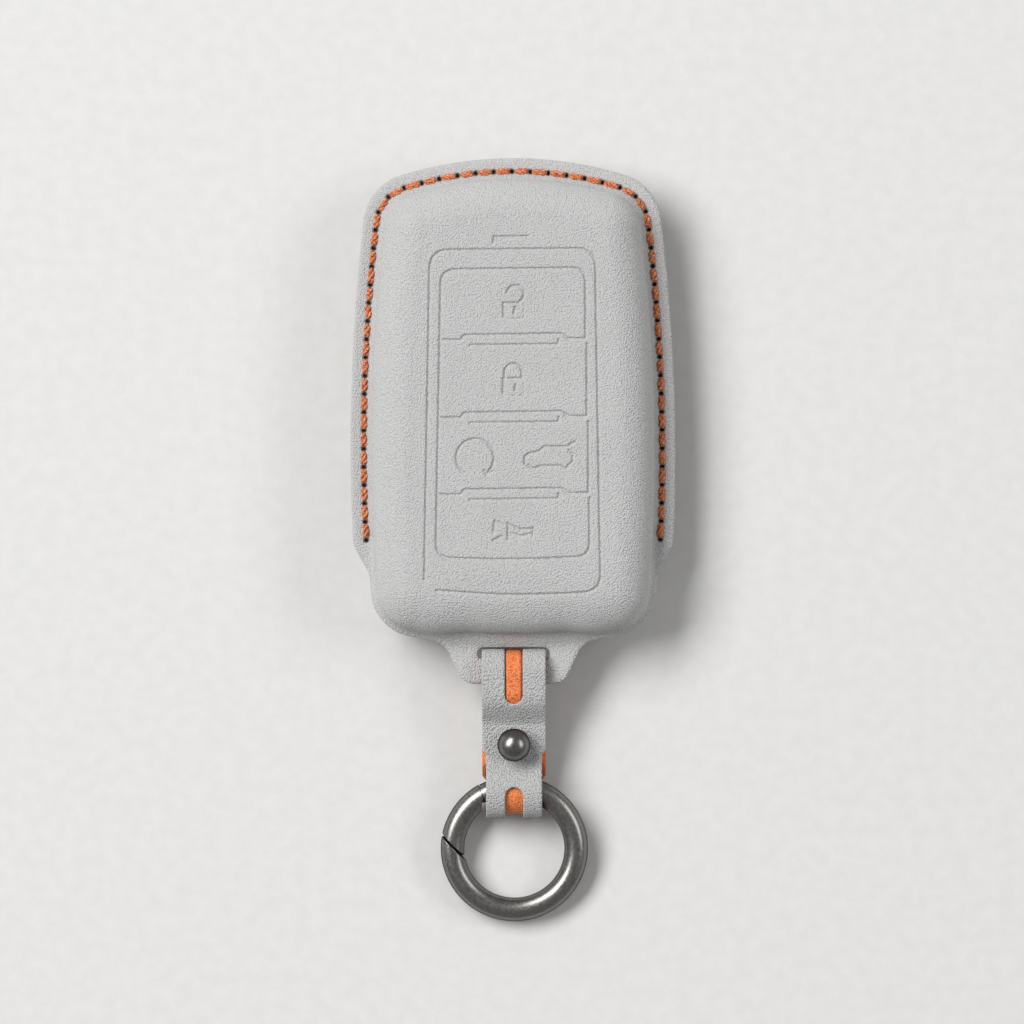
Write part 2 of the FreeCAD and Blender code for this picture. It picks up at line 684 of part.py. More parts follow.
def add_windows(body, label):
    """Cut the two long windows, each over its loop from front to back."""
    half = "window_width / 2"
    past_tab = f"({TAB_LOOP} + {STRAP} + window_width)"
    past_ring = f"({RING_DROP} + {RING_LOOP} + {STRAP} + window_width)"
    window = new_sketch(body, f"{label}_windows")
    for round_end, far_end, turn in (
        (f"-(upper_window_end - {half})", past_tab, 1),
        (f"-({RING_DROP} - lower_window_end + {half})", f"-{past_ring}", -1),
    ):
        size, near, far = value(half), value(round_end), value(far_end)
        start = math.pi if turn > 0 else 0
        bend = Part.Circle(Vector(0, near, 0), Vector(0, 0, 1), size)
        arc = window.addGeometry(Part.ArcOfCircle(bend, start, start + math.pi))
        corners = [Vector(turn * size, near, 0), Vector(turn * size, far, 0)]
        corners += [mirrored(corner) for corner in corners[::-1]]
        lines = [window.addGeometry(Part.LineSegment(a, b)) for a, b in zip(corners, corners[1:])]
        constrain(window, "Tangent", arc, 2, lines[0], 1)
        constrain(window, "Coincident", lines[0], 2, lines[1], 1)
        constrain(window, "Coincident", lines[1], 2, lines[2], 1)
        constrain(window, "Tangent", lines[2], 2, arc, 1)
        constrain(window, "Horizontal", lines[1])
        constrain(window, "Radius", arc, text=half)
        pin_point(window, arc, 3, "0", round_end)
        constrain(window, "Vertical", lines[0])
        constrain(window, "DistanceY", -1, 1, lines[1], 1, text=far_end)
    pocket(body, window, both_ways=True)


# Stud
def make_ball_stud():
    """Ball with a flat seat and a tapped post, turned in one piece."""
    body = new_body("ball_stud")
    profile = new_sketch(body, "ball_profile", role="XZ_Plane")
    ball, seat, post = "ball_diameter / 2", "seat_diameter / 2", "post_diameter / 2"
    bore = "(screw_diameter / 2 + screw_play)"
    middle = f"({STACK_TOP} + sqrt(({ball}) ^ 2 - ({seat}) ^ 2))"
    post_end = f"-({STACK_FOOT} - post_short)"
    bore_end = f"({STACK_TOP} + screw_reach + screw_play)"
    crown = f"({middle} + {ball})"
    texts = [
        ("0", crown),
        ("0", bore_end),
        (bore, bore_end),
        (bore, post_end),
        (post, post_end),
        (post, STACK_TOP),
        (seat, STACK_TOP),
    ]
    points = [Vector(value(x), value(z), 0) for x, z in texts]
    lines = [profile.addGeometry(Part.LineSegment(a, b)) for a, b in zip(points, points[1:])]
    for first, second in zip(lines, lines[1:]):
        constrain(profile, "Coincident", first, 2, second, 1)
    for line, (across, up) in zip(lines, texts):
        pin_point(profile, line, 1, across, up)
    pin_point(profile, lines[-1], 2, *texts[-1])
    centre = Vector(0, value(middle), 0)
    start = math.atan2(points[-1].y - centre.y, points[-1].x)
    turn = Part.Circle(centre, Vector(0, 0, 1), value(ball))
    arc = profile.addGeometry(Part.ArcOfCircle(turn, start, math.pi / 2))
    constrain(profile, "Coincident", arc, 1, lines[-1], 2)
    constrain(profile, "Coincident", arc, 2, lines[0], 1)
    constrain(profile, "PointOnObject", arc, 3, -2)
    revolve(body, profile)
    return body


def make_stud_screw():
    """Flat-headed screw that closes the stud from behind, with a driver slot."""
    body = new_body("stud_screw")
    profile = new_sketch(body, "screw_profile", role="XZ_Plane")
    shank, head = "screw_diameter / 2", "head_diameter / 2"
    head_top = f"-{STACK_FOOT}"
    head_rim = f"-({STACK_FOOT} + head_edge)"
    head_foot = f"-({STACK_FOOT} + head_height)"
    flat = "(head_diameter / 2 - head_height + head_edge)"
    polygon(
        profile,
        [
            ("0", f"({STACK_TOP} + screw_reach)"),
            (shank, f"({STACK_TOP} + screw_reach)"),
            (shank, head_top),
            (head, head_top),
            (head, head_rim),
            (flat, head_foot),
            ("0", head_foot),
        ],
    )
    revolve(body, profile)
    slot = new_sketch(body, "screw_slot", lift=head_foot)
    reach, half = "(head_diameter / 2 + head_edge)", "(head_slot_width / 2)"
    polygon(slot, [(reach, half), (f"-{reach}", half), (f"-{reach}", f"-{half}"), (reach, f"-{half}")])
    pocket(body, slot, "head_slot_depth", upward=True)
    return body


# Ring with a spring gate, made round its own centre
PIN_X = "(ring_radius * cos(hinge_angle))"
PIN_Y = "(ring_radius * sin(hinge_angle))"


def place_on_ring(item):
    """Put an item on the ring, which hangs in the strap loop and lies on the table."""
    item.Placement = Placement(Vector(), Rotation(Vector(1, 0, 0), value(RING_TILT)))
    y = f"-({TAB_DROP}) - {RING_DROP} * cos({STRAP_TILT}) - {RING_REACH} * cos({RING_TILT})"
    bind(item, "Placement.Base.y", y)
    bind(item, "Placement.Base.z", f"{RING_LIFT} - {RING_REACH} * sin({RING_TILT})")
    bind(item, "Placement.Rotation.Angle", RING_TILT)


def at_hinge(along, outward):
    """Formulas for a point given from the pin, along the wire towards the gate's tip and outwards."""
    x = f"({PIN_X} - ({along}) * sin(hinge_angle) + ({outward}) * cos(hinge_angle))"
    y = f"({PIN_Y} + ({along}) * cos(hinge_angle) + ({outward}) * sin(hinge_angle))"
    return x, y


def at_joint(along, outward):
    """Formulas for a point given from the slanted joint, along its cut and away from the gate."""
    lean = "(gate_angle - gate_slant)"
    x = f"(ring_radius * cos(gate_angle) + ({along}) * cos({lean}) - ({outward}) * sin({lean}))"
    y = f"(ring_radius * sin(gate_angle) + ({along}) * sin({lean}) + ({outward}) * cos({lean}))"
    return x, y


def gate_sector(hinge_start, relief, joint_shift):
    """Corners of the part of the ring that the gate takes up."""
    past = "(2 * wire_radius)"
    far = "(4 * wire_radius)"
    corners = [at_hinge(hinge_start, past), at_hinge(hinge_start, "0")]
    corners.append(at_hinge(f"{hinge_start} + {past} * tan({relief})", f"-{past}"))
    corners.append(at_joint(f"-{far}", joint_shift))
    corners.append(at_joint(far, joint_shift))
    corners.append((f"-({RING_OUTER} + {past})", f"({RING_OUTER} + {past})"))
    return corners


def make_wire_ring(label):
    body = new_body(label)
    section = new_sketch(body, f"{label}_section", role="XZ_Plane")
    circle(section, "ring_radius", "0", "wire_radius")
    revolve(body, section)
    return body


def round_joint(body):
    """Round the border of the flat face at the slanted joint."""
    joint = Vector(*[value(text) for text in at_joint("0", "0")], 0)
    flats = [face for face in body.Tip.Shape.Faces if isinstance(face.Surface, Part.Plane)]
    face = min(flats, key=lambda face: face.CenterOfMass.distanceToPoint(joint))
    fillet(body, f"{body.Label}_joint_edge", face.OuterWire.Edges, "gate_edge")


def make_ring_body():
    """Round wire ring with a fork for the gate's tongue and a bore for its spring."""
    body = make_wire_ring("ring_body")
    gap = new_sketch(body, "ring_gate_gap")
    polygon(gap, gate_sector("hinge_end", "0", "gate_gap / 2"))
    pocket(body, gap, both_ways=True)
    round_joint(body)
    fork = new_sketch(body, "ring_fork")
    reach, side = "(tongue_radius + tongue_clear)", "(2 * wire_radius)"
    polygon(
        fork,
        [
            at_hinge(f"-{reach}", side),
            at_hinge(f"-{reach}", f"-{side}"),
            at_hinge("(hinge_end + tongue_clear)", f"-{side}"),
            at_hinge("(hinge_end + tongue_clear)", side),
        ],
    )
    pocket(body, fork, "tongue_thickness + 2 * tongue_play", both_ways=True)
    hole = new_sketch(body, "ring_pin_hole")
    circle(hole, PIN_X, PIN_Y, "pin_radius + pin_play / 2")
    pocket(body, hole, both_ways=True)
    bore = body.newObject("PartDesign::SubtractiveCylinder", "ring_spring_bore")
    bind(bore, "Radius", "spring_radius + spring_wire / 2 + spring_play")
    bind(bore, "Height", "spring_turns * spring_pitch + spring_wire + tongue_clear")
    set_along_spring(bore, "tongue_radius")
    doc.recompute()
    return body


def set_along_spring(item, start):
    """Point an item's Z axis along the spring, from a formula's distance behind the pin."""
    angle = math.radians(value("hinge_angle"))
    aim = Rotation(Vector(0, 0, 1), Vector(math.sin(angle), -math.cos(angle), 0))
    x, y = at_hinge(f"0 - {start}", "0 - spring_offset")
    item.Placement = Placement(Vector(value(x), value(y), 0), aim)


def make_ring_gate():
    """Gate arc with a flat tongue on the pin; the spring pushes on the tongue's flat heel."""
    body = make_wire_ring("ring_gate")
    keep = new_sketch(body, "gate_keep")
    polygon(keep, gate_sector("hinge_end + hinge_gap", "hinge_relief", "-gate_gap / 2"))
    edge = f"({RING_OUTER} + 4 * wire_radius)"
    polygon(keep, [(edge, edge), (f"-{edge}", edge), (f"-{edge}", f"-{edge}"), (edge, f"-{edge}")])
    pocket(body, keep, both_ways=True)
    round_joint(body)
    tongue = new_sketch(body, "gate_tongue")
    root = "(hinge_end + hinge_gap + 2 * tongue_radius)"
    polygon(
        tongue,
        [
            at_hinge("0", "tongue_radius"),
            at_hinge("0", "-tongue_radius"),
            at_hinge(root, "-tongue_radius / 2"),
            at_hinge(root, "tongue_radius / 2"),
        ],
    )
    pad(body, tongue, "tongue_thickness", both_ways=True)
    knuckle = new_sketch(body, "gate_knuckle")
    circle(knuckle, PIN_X, PIN_Y, "tongue_radius")
    pad(body, knuckle, "tongue_thickness", both_ways=True)
    heel = new_sketch(body, "gate_heel")
    heel_reach = "-(spring_offset + spring_radius + spring_wire / 2)"
    polygon(
        heel,
        [
            at_hinge("0", "0"),
            at_hinge("-tongue_radius", "0"),
            at_hinge("-tongue_radius", heel_reach),
            at_hinge("0", heel_reach),
        ],
    )
    pad(body, heel, "tongue_thickness", both_ways=True)
    hole = new_sketch(body, "gate_pin_hole")
    circle(hole, PIN_X, PIN_Y, "pin_radius + pin_play")
    pocket(body, hole, both_ways=True)
    return body


def make_gate_pin():
    body = new_body("gate_pin")
    section = new_sketch(body, "pin_section")
    circle(section, PIN_X, PIN_Y, "pin_radius")
    pad(body, section, "2 * (wire_radius - pin_short)", both_ways=True)
    return body


def biarc(start, start_way, end, end_way):
    """Two arcs that leave one point and reach another in given directions."""
    apart, ways = end - start, start_way + end_way
    bend = 2 * (1 - start_way.dot(end_way))
    reach = (-apart.dot(ways) + math.sqrt(apart.dot(ways) ** 2 + bend * apart.dot(apart))) / bend
    joint = (start + end + (start_way - end_way) * reach) / 2

    def arc(first, second, way):
        chord = second - first
        unit = chord / chord.Length
        aside = way - unit * way.dot(unit)
        angle = way.getAngle(chord)
        rise = chord.Length / 2 * math.tan(angle / 2)
        return Part.Arc(first, (first + second) / 2 + aside.normalize() * rise, second)

    back = arc(end, joint, end_way * -1)
    back.reverse()
    return [arc(start, joint, start_way).toShape(), back.toShape()]


def make_gate_spring():
    """Small compression spring behind the gate's tongue, wound in half turns."""
    radius, pitch, wire = value("spring_radius"), value("spring_pitch"), value("spring_wire / 2")
    halves = 2 * int(value("spring_turns"))
    places, ways = [], []
    for number in range(halves + 1):
        angle = math.pi * number
        places.append(Vector(radius * math.cos(angle), radius * math.sin(angle), pitch * number / 2 + wire))
        way = Vector(-radius * math.sin(angle), radius * math.cos(angle), pitch / (2 * math.pi))
        ways.append(way.normalize())
    edges = []
    for number in range(halves):
        edges += biarc(places[number], ways[number], places[number + 1], ways[number + 1])
    path = Part.Wire(edges)
    section = Part.Wire([Part.Circle(places[0], ways[0], wire).toShape()])
    coil = path.makePipeShell([section], True, False)
    drawn = math.pi * wire**2 * path.Length
    print(f"gate spring: volume {coil.Volume:.4f}, section times length {drawn:.4f}")
    print(f"gate spring: gap between turns {pitch - 2 * wire:.2f}")
    spring = doc.addObject("Part::Feature", "gate_spring")
    spring.Shape = coil
    spring.Label = "gate_spring"
    return spring


# Build
parts = [
    make_shell("front_shell", "front_depth", FRONT_EDGE, front=True),
    make_lining("front_lining", "front_depth", FRONT_EDGE, front=True),
    make_shell("back_shell", "back_depth", BACK_EDGE, front=False),
    make_lining("back_lining", "back_depth", BACK_EDGE, front=False),
    make_stitches("front_stitches", front=True),
    make_stitches("back_stitches", front=False),
]
strap_parts = [
    make_strap_layer("strap_outer", "strap_orange", STRAP, windows=True),
    make_strap_layer("strap_lining", "0", "strap_orange", windows=False),
]
for part in strap_parts:
    place_on_strap(part, "0")
stud_parts = [make_ball_stud(), make_stud_screw()]
for part in stud_parts:
    place_on_strap(part, STUD_DROP)
ring_parts = [make_ring_body(), make_ring_gate(), make_gate_pin()]
for part in ring_parts:
    place_on_ring(part)
gate_spring = make_gate_spring()
doc.recompute()
gate_spring.Placement = Placement()
set_along_spring(gate_spring, "(tongue_radius + spring_start)")
gate_spring.Placement = ring_parts[0].Placement.multiply(gate_spring.Placement)
parts += strap_parts + stud_parts + ring_parts + [gate_spring]
doc.recompute()

# Check and write
for item in doc.Objects:
    if "Invalid" in item.State or "Error" in item.State:
        raise RuntimeError(f"{item.Label} failed: {item.State}")
for part in parts:
    if part.Shape.isNull() or not part.Shape.isValid():
        raise RuntimeError(f"{part.Label} has no valid shape")
os.makedirs("parts", exist_ok=True)
for part in parts:
    box = part.Shape.BoundBox
    print(f"{part.Label}: {len(part.Shape.Solids)} solids, volume {part.Shape.Volume:.2f}")
    for axis in "XYZ":
        low, high = getattr(box, f"{axis}Min"), getattr(box, f"{axis}Max")
        print(f"  {axis} {low:.2f} to {high:.2f}")
    part.Shape.exportStep(f"parts/{part.Label}.step")
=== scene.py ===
import json
import logging
import math
from abc import ABC, abstractmethod
from collections.abc import Callable, Sequence
from dataclasses import dataclass, field
from enum import Enum
from typing import NamedTuple

import bmesh
import bpy
import numpy as np
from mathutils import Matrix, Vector
from mathutils.kdtree import KDTree


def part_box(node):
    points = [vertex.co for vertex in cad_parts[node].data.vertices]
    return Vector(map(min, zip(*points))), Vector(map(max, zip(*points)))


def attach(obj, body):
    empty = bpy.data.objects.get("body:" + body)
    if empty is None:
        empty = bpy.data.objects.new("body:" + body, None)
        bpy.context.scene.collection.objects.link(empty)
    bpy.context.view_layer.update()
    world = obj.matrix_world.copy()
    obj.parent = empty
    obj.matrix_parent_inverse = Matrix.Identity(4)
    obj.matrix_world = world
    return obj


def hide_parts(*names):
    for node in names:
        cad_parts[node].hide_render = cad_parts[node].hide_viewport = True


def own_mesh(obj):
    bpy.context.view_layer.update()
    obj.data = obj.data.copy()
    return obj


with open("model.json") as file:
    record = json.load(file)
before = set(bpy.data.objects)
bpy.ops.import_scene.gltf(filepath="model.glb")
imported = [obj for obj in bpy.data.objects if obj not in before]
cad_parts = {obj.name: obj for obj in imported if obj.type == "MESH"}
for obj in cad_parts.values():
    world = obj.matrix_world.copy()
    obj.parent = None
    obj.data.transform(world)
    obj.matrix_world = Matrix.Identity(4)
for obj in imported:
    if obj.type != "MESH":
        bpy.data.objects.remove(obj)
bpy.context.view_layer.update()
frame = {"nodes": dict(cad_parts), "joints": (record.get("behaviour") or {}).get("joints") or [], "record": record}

MM = 0.001
PAINTED_SHADE = "painted_shade"  # painted shade: mesh value that is highest deep inside holes and joints
FAR = 1e6  # distance given to points that take no part, in millimetres
TINY = 1e-9  # keeps a division by a length from failing at 0
SMOOTHING = 0.5  # share of the way to its neighbours that a point moves in each round
SPLIT_MARGIN = 0.5  # faces are divided this far beside a pressed line, in millimetres

# Sockets of the mix node by number, because their names repeat
MIX_FACTOR = 0
MIX_VALUE_A = 2
MIX_VALUE_B = 3
MIX_TONE_A = 6
MIX_TONE_B = 7
MIX_VALUE_OUT = 0
MIX_TONE_OUT = 2

log = logging.getLogger("key_fob_cover")

Point = tuple[float, float]
Span = tuple[float, float]
Measure = Callable[[np.ndarray], np.ndarray]


class Body(Enum):
    """Moving bodies of the frame."""

    CASE = "case"
    STRAP = "strap"
    RING = "ring"
    GATE = "gate"


class Side(Enum):
    """The two halves of the case; the value is the way that each one faces along Z."""

    FRONT = 1
    BACK = -1


class Slot(Enum):
    """Material slots of the record."""

    SUEDE = "suede"
    LINING = "pocket_lining"
    THREAD = "thread"
    ORANGE = "strap_orange"
    STUD = "stud_metal"
    RING = "ring_metal"
    STEEL = "spring_steel"


class Stroke(NamedTuple):
    """A pressed line: its share of the full depth and its points in millimetres."""

    depth: float
    path: list[Point]


class PressTool(NamedTuple):
    """Blunt tool that presses lines into a skin, and how often the skin is divided for it."""

    depth_mm: float
    half_width_mm: float
    divisions: int


# Colour and node helpers
def linear(code: str) -> tuple[float, float, float, float]:
    """Turn an sRGB hex colour into linear RGBA.

    Args:
        code: Six hex digits with a leading hash sign.

    Returns:
        Linear red, green and blue with full alpha.
    """
    parts = [int(code[i : i + 2], 16) / 255 for i in (1, 3, 5)]
    red, green, blue = (c / 12.92 if c <= 0.04045 else ((c + 0.055) / 1.055) ** 2.4 for c in parts)
    return red, green, blue, 1.0


def per_metre(size_mm: float) -> float:
    """Texture scale at which one pattern cell measures a size in millimetres."""
    return 1 / (size_mm * MM)


def add_node(
    tree: bpy.types.NodeTree, kind: str, inputs: dict[str | int, object] | None = None, **settings: object
) -> bpy.types.Node:
    """Add a shader node with its settings, values and links.

    Args:
        tree: Node tree that gets the node.
        kind: Blender's name of the node type.
        inputs: Socket names or numbers with a value or an output socket each.
        **settings: Properties of the node itself.

    Returns:
        The new node.
    """
    node = tree.nodes.new(kind)
    for name, setting in settings.items():
        setattr(node, name, setting)
    for key, source in (inputs or {}).items():
        if isinstance(source, bpy.types.NodeSocket):
            tree.links.new(source, node.inputs[key])
        else:
            node.inputs[key].default_value = source
    return node


# Finishes
@dataclass(frozen=True)
class Finish:
    """Two tones mixed by a pattern, which also gives the surface its fine relief."""

    name: str
    light: str
    dark: str
    cell_mm: float
    relief_mm: float = 0.0
    painted_shade: str = "#1F1714"  # painted shade, the tone deep inside holes and joints

    def pattern(self, tree: bpy.types.NodeTree, place: bpy.types.NodeSocket) -> bpy.types.NodeSocket:
        """Draw the pattern: soft noise, stretched to the full range.

        Args:
            tree: Node tree of the material.
            place: Coordinates of the piece.

        Returns:
            Pattern value from 0 to 1.
        """
        noise = add_node(
            tree,
            "ShaderNodeTexNoise",
            {"Vector": place, "Scale": per_metre(self.cell_mm), "Detail": 2.0, "Roughness": 0.55},
        )
        spread = {"Value": noise.outputs[0], "From Min": 0.34, "From Max": 0.66}
        return add_node(tree, "ShaderNodeMapRange", spread).outputs[0]

    def surface(self) -> dict[str, object]:
        """Even values of the surface shader."""
        return {"Roughness": 0.9}

    def gloss(self, tree: bpy.types.NodeTree, pattern: bpy.types.NodeSocket) -> None:
        """Let the pattern change the gloss; plain finishes keep an even one."""

    def make(self) -> bpy.types.Material:
        """Build the material.

        Returns:
            The finished material.
        """
        material = bpy.data.materials.new(self.name)
        material.use_nodes = True
        tree = material.node_tree
        shader = tree.nodes["Principled BSDF"]
        pattern = self.pattern(tree, add_node(tree, "ShaderNodeTexCoord").outputs["Object"])
        tones = {MIX_FACTOR: pattern, MIX_TONE_A: linear(self.dark), MIX_TONE_B: linear(self.light)}
        tone = add_node(tree, "ShaderNodeMix", tones, data_type="RGBA").outputs[MIX_TONE_OUT]
        # Painted shade: the tone darkens where the mesh marks a point as deep in a hole or joint.
        depth = add_node(tree, "ShaderNodeAttribute", attribute_name=PAINTED_SHADE).outputs["Fac"]
        tones = {MIX_FACTOR: depth, MIX_TONE_A: tone, MIX_TONE_B: linear(self.painted_shade)}
        colour = add_node(tree, "ShaderNodeMix", tones, data_type="RGBA")
        tree.links.new(colour.outputs[MIX_TONE_OUT], shader.inputs["Base Color"])
        self.gloss(tree, pattern)
        if self.relief_mm:
            bump = add_node(tree, "ShaderNodeBump", {"Height": pattern, "Distance": self.relief_mm * MM})
            tree.links.new(bump.outputs[0], shader.inputs["Normal"])
        for socket, value in self.surface().items():
            shader.inputs[socket].default_value = value
        return material


@dataclass(frozen=True)
class WaxedThread(Finish):
    """Waxed polyester thread: bundles of filament under a soft wax gloss."""

    def surface(self) -> dict[str, object]:
        """Half-matt wax with fuzzy edges."""
        return {"Roughness": 0.45, "Specular IOR Level": 0.5, "Sheen Weight": 0.05}


@dataclass(frozen=True)
class CellFinish(Finish):
    """Finish of small rounded cells with paler tops and darker valleys."""

    valley: float = 0.9  # distance from a cell's middle at which its valley is deepest, in cells

    def pattern(self, tree: bpy.types.NodeTree, place: bpy.types.NodeSocket) -> bpy.types.NodeSocket:
        """Draw rounded cells.

        Args:
            tree: Node tree of the material.
            place: Coordinates of the piece.

        Returns:
            Pattern value from 0 to 1.
        """
        cells = add_node(
            tree,
            "ShaderNodeTexVoronoi",
            {"Vector": place, "Scale": per_metre(self.cell_mm)},
            feature="F1",
        )
        spread = {"Value": cells.outputs[0], "From Max": self.valley, "To Min": 1.0, "To Max": 0.0}
        return add_node(tree, "ShaderNodeMapRange", spread).outputs[0]


@dataclass(frozen=True)
class GrainedLeather(CellFinish):
    """Embossed leather: a rounded grain under a dull coating."""

    def surface(self) -> dict[str, object]:
        """Dull coated hide."""
        return {"Roughness": 0.6, "Specular IOR Level": 0.35}


@dataclass(frozen=True)
class Suede(CellFinish):
    """Microfibre suede: a short brushed nap that scatters light, matt, with a crumbly speckle."""

    fibre_share: float = 0.3
    fibre_mm: float = 0.2
    cloud_share: float = 0.12
    cloud_mm: float = 7.0

    def pattern(self, tree: bpy.types.NodeTree, place: bpy.types.NodeSocket) -> bpy.types.NodeSocket:
        """Draw crumbs of nap, frayed by fibres, over faint brushed clouds.

        Args:
            tree: Node tree of the material.
            place: Coordinates of the piece.

        Returns:
            Pattern value from 0 to 1.
        """
        value = super().pattern(tree, place)
        for share, size in ((self.fibre_share, self.fibre_mm), (self.cloud_share, self.cloud_mm)):
            noise = add_node(tree, "ShaderNodeTexNoise", {"Vector": place, "Scale": per_metre(size)})
            parts = {MIX_FACTOR: share, MIX_VALUE_A: value, MIX_VALUE_B: noise.outputs[0]}
            value = add_node(tree, "ShaderNodeMix", parts).outputs[MIX_VALUE_OUT]
        return value

    def surface(self) -> dict[str, object]:
        """Matt fibre with a soft edge glow."""
        return {"Roughness": 0.95, "Specular IOR Level": 0.15, "Sheen Weight": 0.18, "Sheen Roughness": 0.5}


@dataclass(frozen=True)
class KnittedLining(CellFinish):
    """Fine warp-knit lining: small loops, dark, matt, with a soft fuzz."""

    def surface(self) -> dict[str, object]:
        """Matt yarn with fuzz."""
        return {"Roughness": 0.9, "Sheen Weight": 0.25}


@dataclass(frozen=True)
class PlatedMetal(Finish):
    """Plated metal: a dark mirror, softened by fine tumbling marks, that stays dark at its edges."""

    rough_low: float = 0.3
    rough_high: float = 0.4
    edge: str = "#707070"

    def surface(self) -> dict[str, object]:
        """Bare metal; its gloss comes from the pattern."""
        return {"Metallic": 1.0, "Specular Tint": linear(self.edge)}

    def gloss(self, tree: bpy.types.NodeTree, pattern: bpy.types.NodeSocket) -> None:
        """Let the gloss follow the marks.

        Args:
            tree: Node tree of the material.
            pattern: Pattern value.
        """
        spread = {"Value": pattern, "To Min": self.rough_low, "To Max": self.rough_high}
        marks = add_node(tree, "ShaderNodeMapRange", spread)
        tree.links.new(marks.outputs[0], tree.nodes["Principled BSDF"].inputs["Roughness"])


class Palette:
    """All finishes of the cover, each made once."""

    def __init__(self) -> None:
        """Make the materials from their two tones, the size of their pattern and its relief."""
        # Moulded microfibre suede: matt and pale, with a crumbly nap, drawn coarser so that it shows.
        self.suede = Suede(
            "suede_microfibre", "#D3D3D2", "#A3A3A2", cell_mm=0.29, relief_mm=0.3
        ).make()
        # The same suede, handled every day: its nap lies in coarser clumps with darker gaps.
        self.worn = Suede(
            "suede_microfibre_handled", "#D6D6D5", "#949493", cell_mm=0.32, relief_mm=0.4
        ).make()
        # Twisted and waxed polyester: bright bundles with dark gaps; the filaments are drawn coarser, too.
        self.thread = WaxedThread(
            "thread_waxed_polyester", "#F5A06C", "#9E340C", cell_mm=0.3, relief_mm=0.13
        ).make()
        # Dyed and embossed leather: an even grain that is half matt.
        self.orange = GrainedLeather(
            "leather_embossed_orange", "#FBA168", "#C4521A", cell_mm=0.3, relief_mm=0.12
        ).make()
        # Warp-knitted lining: dark loops without gloss.
        self.lining = KnittedLining(
            "lining_warp_knit", "#4A4A4D", "#2E2E31", cell_mm=0.6, relief_mm=0.06
        ).make()
        # Cast zinc, tumbled and plated: soft streaks of light on a dark grey mirror.
        self.ring = PlatedMetal(
            "zinc_gunmetal_plate", "#94928F", "#82807D", cell_mm=0.4, rough_low=0.3, rough_high=0.38
        ).make()
        # Turned brass under black nickel: darker, with a tighter highlight.
        self.stud = PlatedMetal(
            "brass_black_nickel_plate", "#868482", "#7A7876", cell_mm=0.4, rough_low=0.28, rough_high=0.34
        ).make()
        # Drawn spring steel: paler and plain.
        self.steel = PlatedMetal("spring_steel_drawn", "#B9B7B4", "#9F9D9A", cell_mm=0.6).make()
        # Uncoated paper: even and quite matt.
        self.paper = Finish("paper_backdrop", "#D4D3D1", "#D0CFCD", cell_mm=2.5).make()


# Mesh helpers
def new_object(name: str, mesh: bpy.types.Mesh) -> bpy.types.Object:
    """Put a mesh into the scene as a new object.

    Args:
        name: Piece name.
        mesh: Its mesh, in the frame's metres.

    Returns:
        The new object.
    """
    piece = bpy.data.objects.new(name, mesh)
    bpy.context.scene.collection.objects.link(piece)
    return piece


def points_of(mesh: bpy.types.Mesh) -> np.ndarray:
    """Read a mesh's points.

    Args:
        mesh: Mesh to read.

    Returns:
        One row of three coordinates for each point.
    """
    flat = np.zeros(len(mesh.vertices) * 3)
    mesh.vertices.foreach_get("co", flat)
    return flat.reshape(-1, 3)


def set_points(mesh: bpy.types.Mesh, points: np.ndarray) -> None:
    """Write rows of points back to a mesh."""
    mesh.vertices.foreach_set("co", points.ravel())
    mesh.update()


def paint_shade(mesh: bpy.types.Mesh, values: np.ndarray) -> None:
    """Store how deep each point lies in a hole or joint, as painted shade for the finish."""
    painted_shade = mesh.attributes.new(PAINTED_SHADE, "FLOAT", "POINT")
    painted_shade.data.foreach_set("value", values.astype(np.float32))


def smooth_shading(mesh: bpy.types.Mesh) -> None:
    """Shade every face of a mesh smooth."""
    mesh.polygons.foreach_set("use_smooth", [True] * len(mesh.polygons))


def ramp(values: np.ndarray, start: float, end: float) -> np.ndarray:
    """Rise softly from 0 to 1 between two values."""
    share = np.clip((values - start) / (end - start), 0, 1)
    return share * share * (3 - 2 * share)


def dimple(away: np.ndarray) -> np.ndarray:
    """Fall softly from 1 to 0 as a distance goes from 0 to 1, and stay there."""
    return 0.5 * (1 + np.cos(math.pi * np.clip(away, 0, 1)))


def dress(piece: bpy.types.Object, material: bpy.types.Material) -> None:
    """Give a piece one material all over.

    Args:
        piece: Object to dress.
        material: Its finish.
    """
    piece.data.materials.clear()
    piece.data.materials.append(material)
    log.info("%s is dressed in %s", piece.name, material.name)


def settle(piece: bpy.types.Object, body: Body, node: str) -> None:
    """Let a piece ride on a body in place of a CAD node.

    Args:
        piece: Object to settle.
        body: Body that carries it.
        node: CAD node that it stands for.
    """
    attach(piece, body.value)
    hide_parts(node)
    log.info("%s rides on %s for %s", piece.name, body.value, node)


def soft_copy(node: str, name: str, voxel_mm: float, rounds: int) -> bpy.types.Object:
    """Copy a CAD solid as an even skin with softened edges.

    Args:
        node: CAD node to copy.
        name: Name of the new piece.
        voxel_mm: Spacing of the new skin's points.
        rounds: How often the skin is smoothed.

    Returns:
        The new piece.
    """
    piece = new_object(name, frame["nodes"][node].data.copy())
    skin = piece.modifiers.new("skin", "REMESH")
    skin.mode = "VOXEL"
    skin.voxel_size = voxel_mm * MM
    soften = piece.modifiers.new("soften", "SMOOTH")
    soften.factor = SMOOTHING
    soften.iterations = rounds
    shape = piece.evaluated_get(bpy.context.evaluated_depsgraph_get())
    mesh = bpy.data.meshes.new_from_object(shape)
    piece.modifiers.clear()
    piece.data = mesh
    smooth_shading(mesh)
    return piece


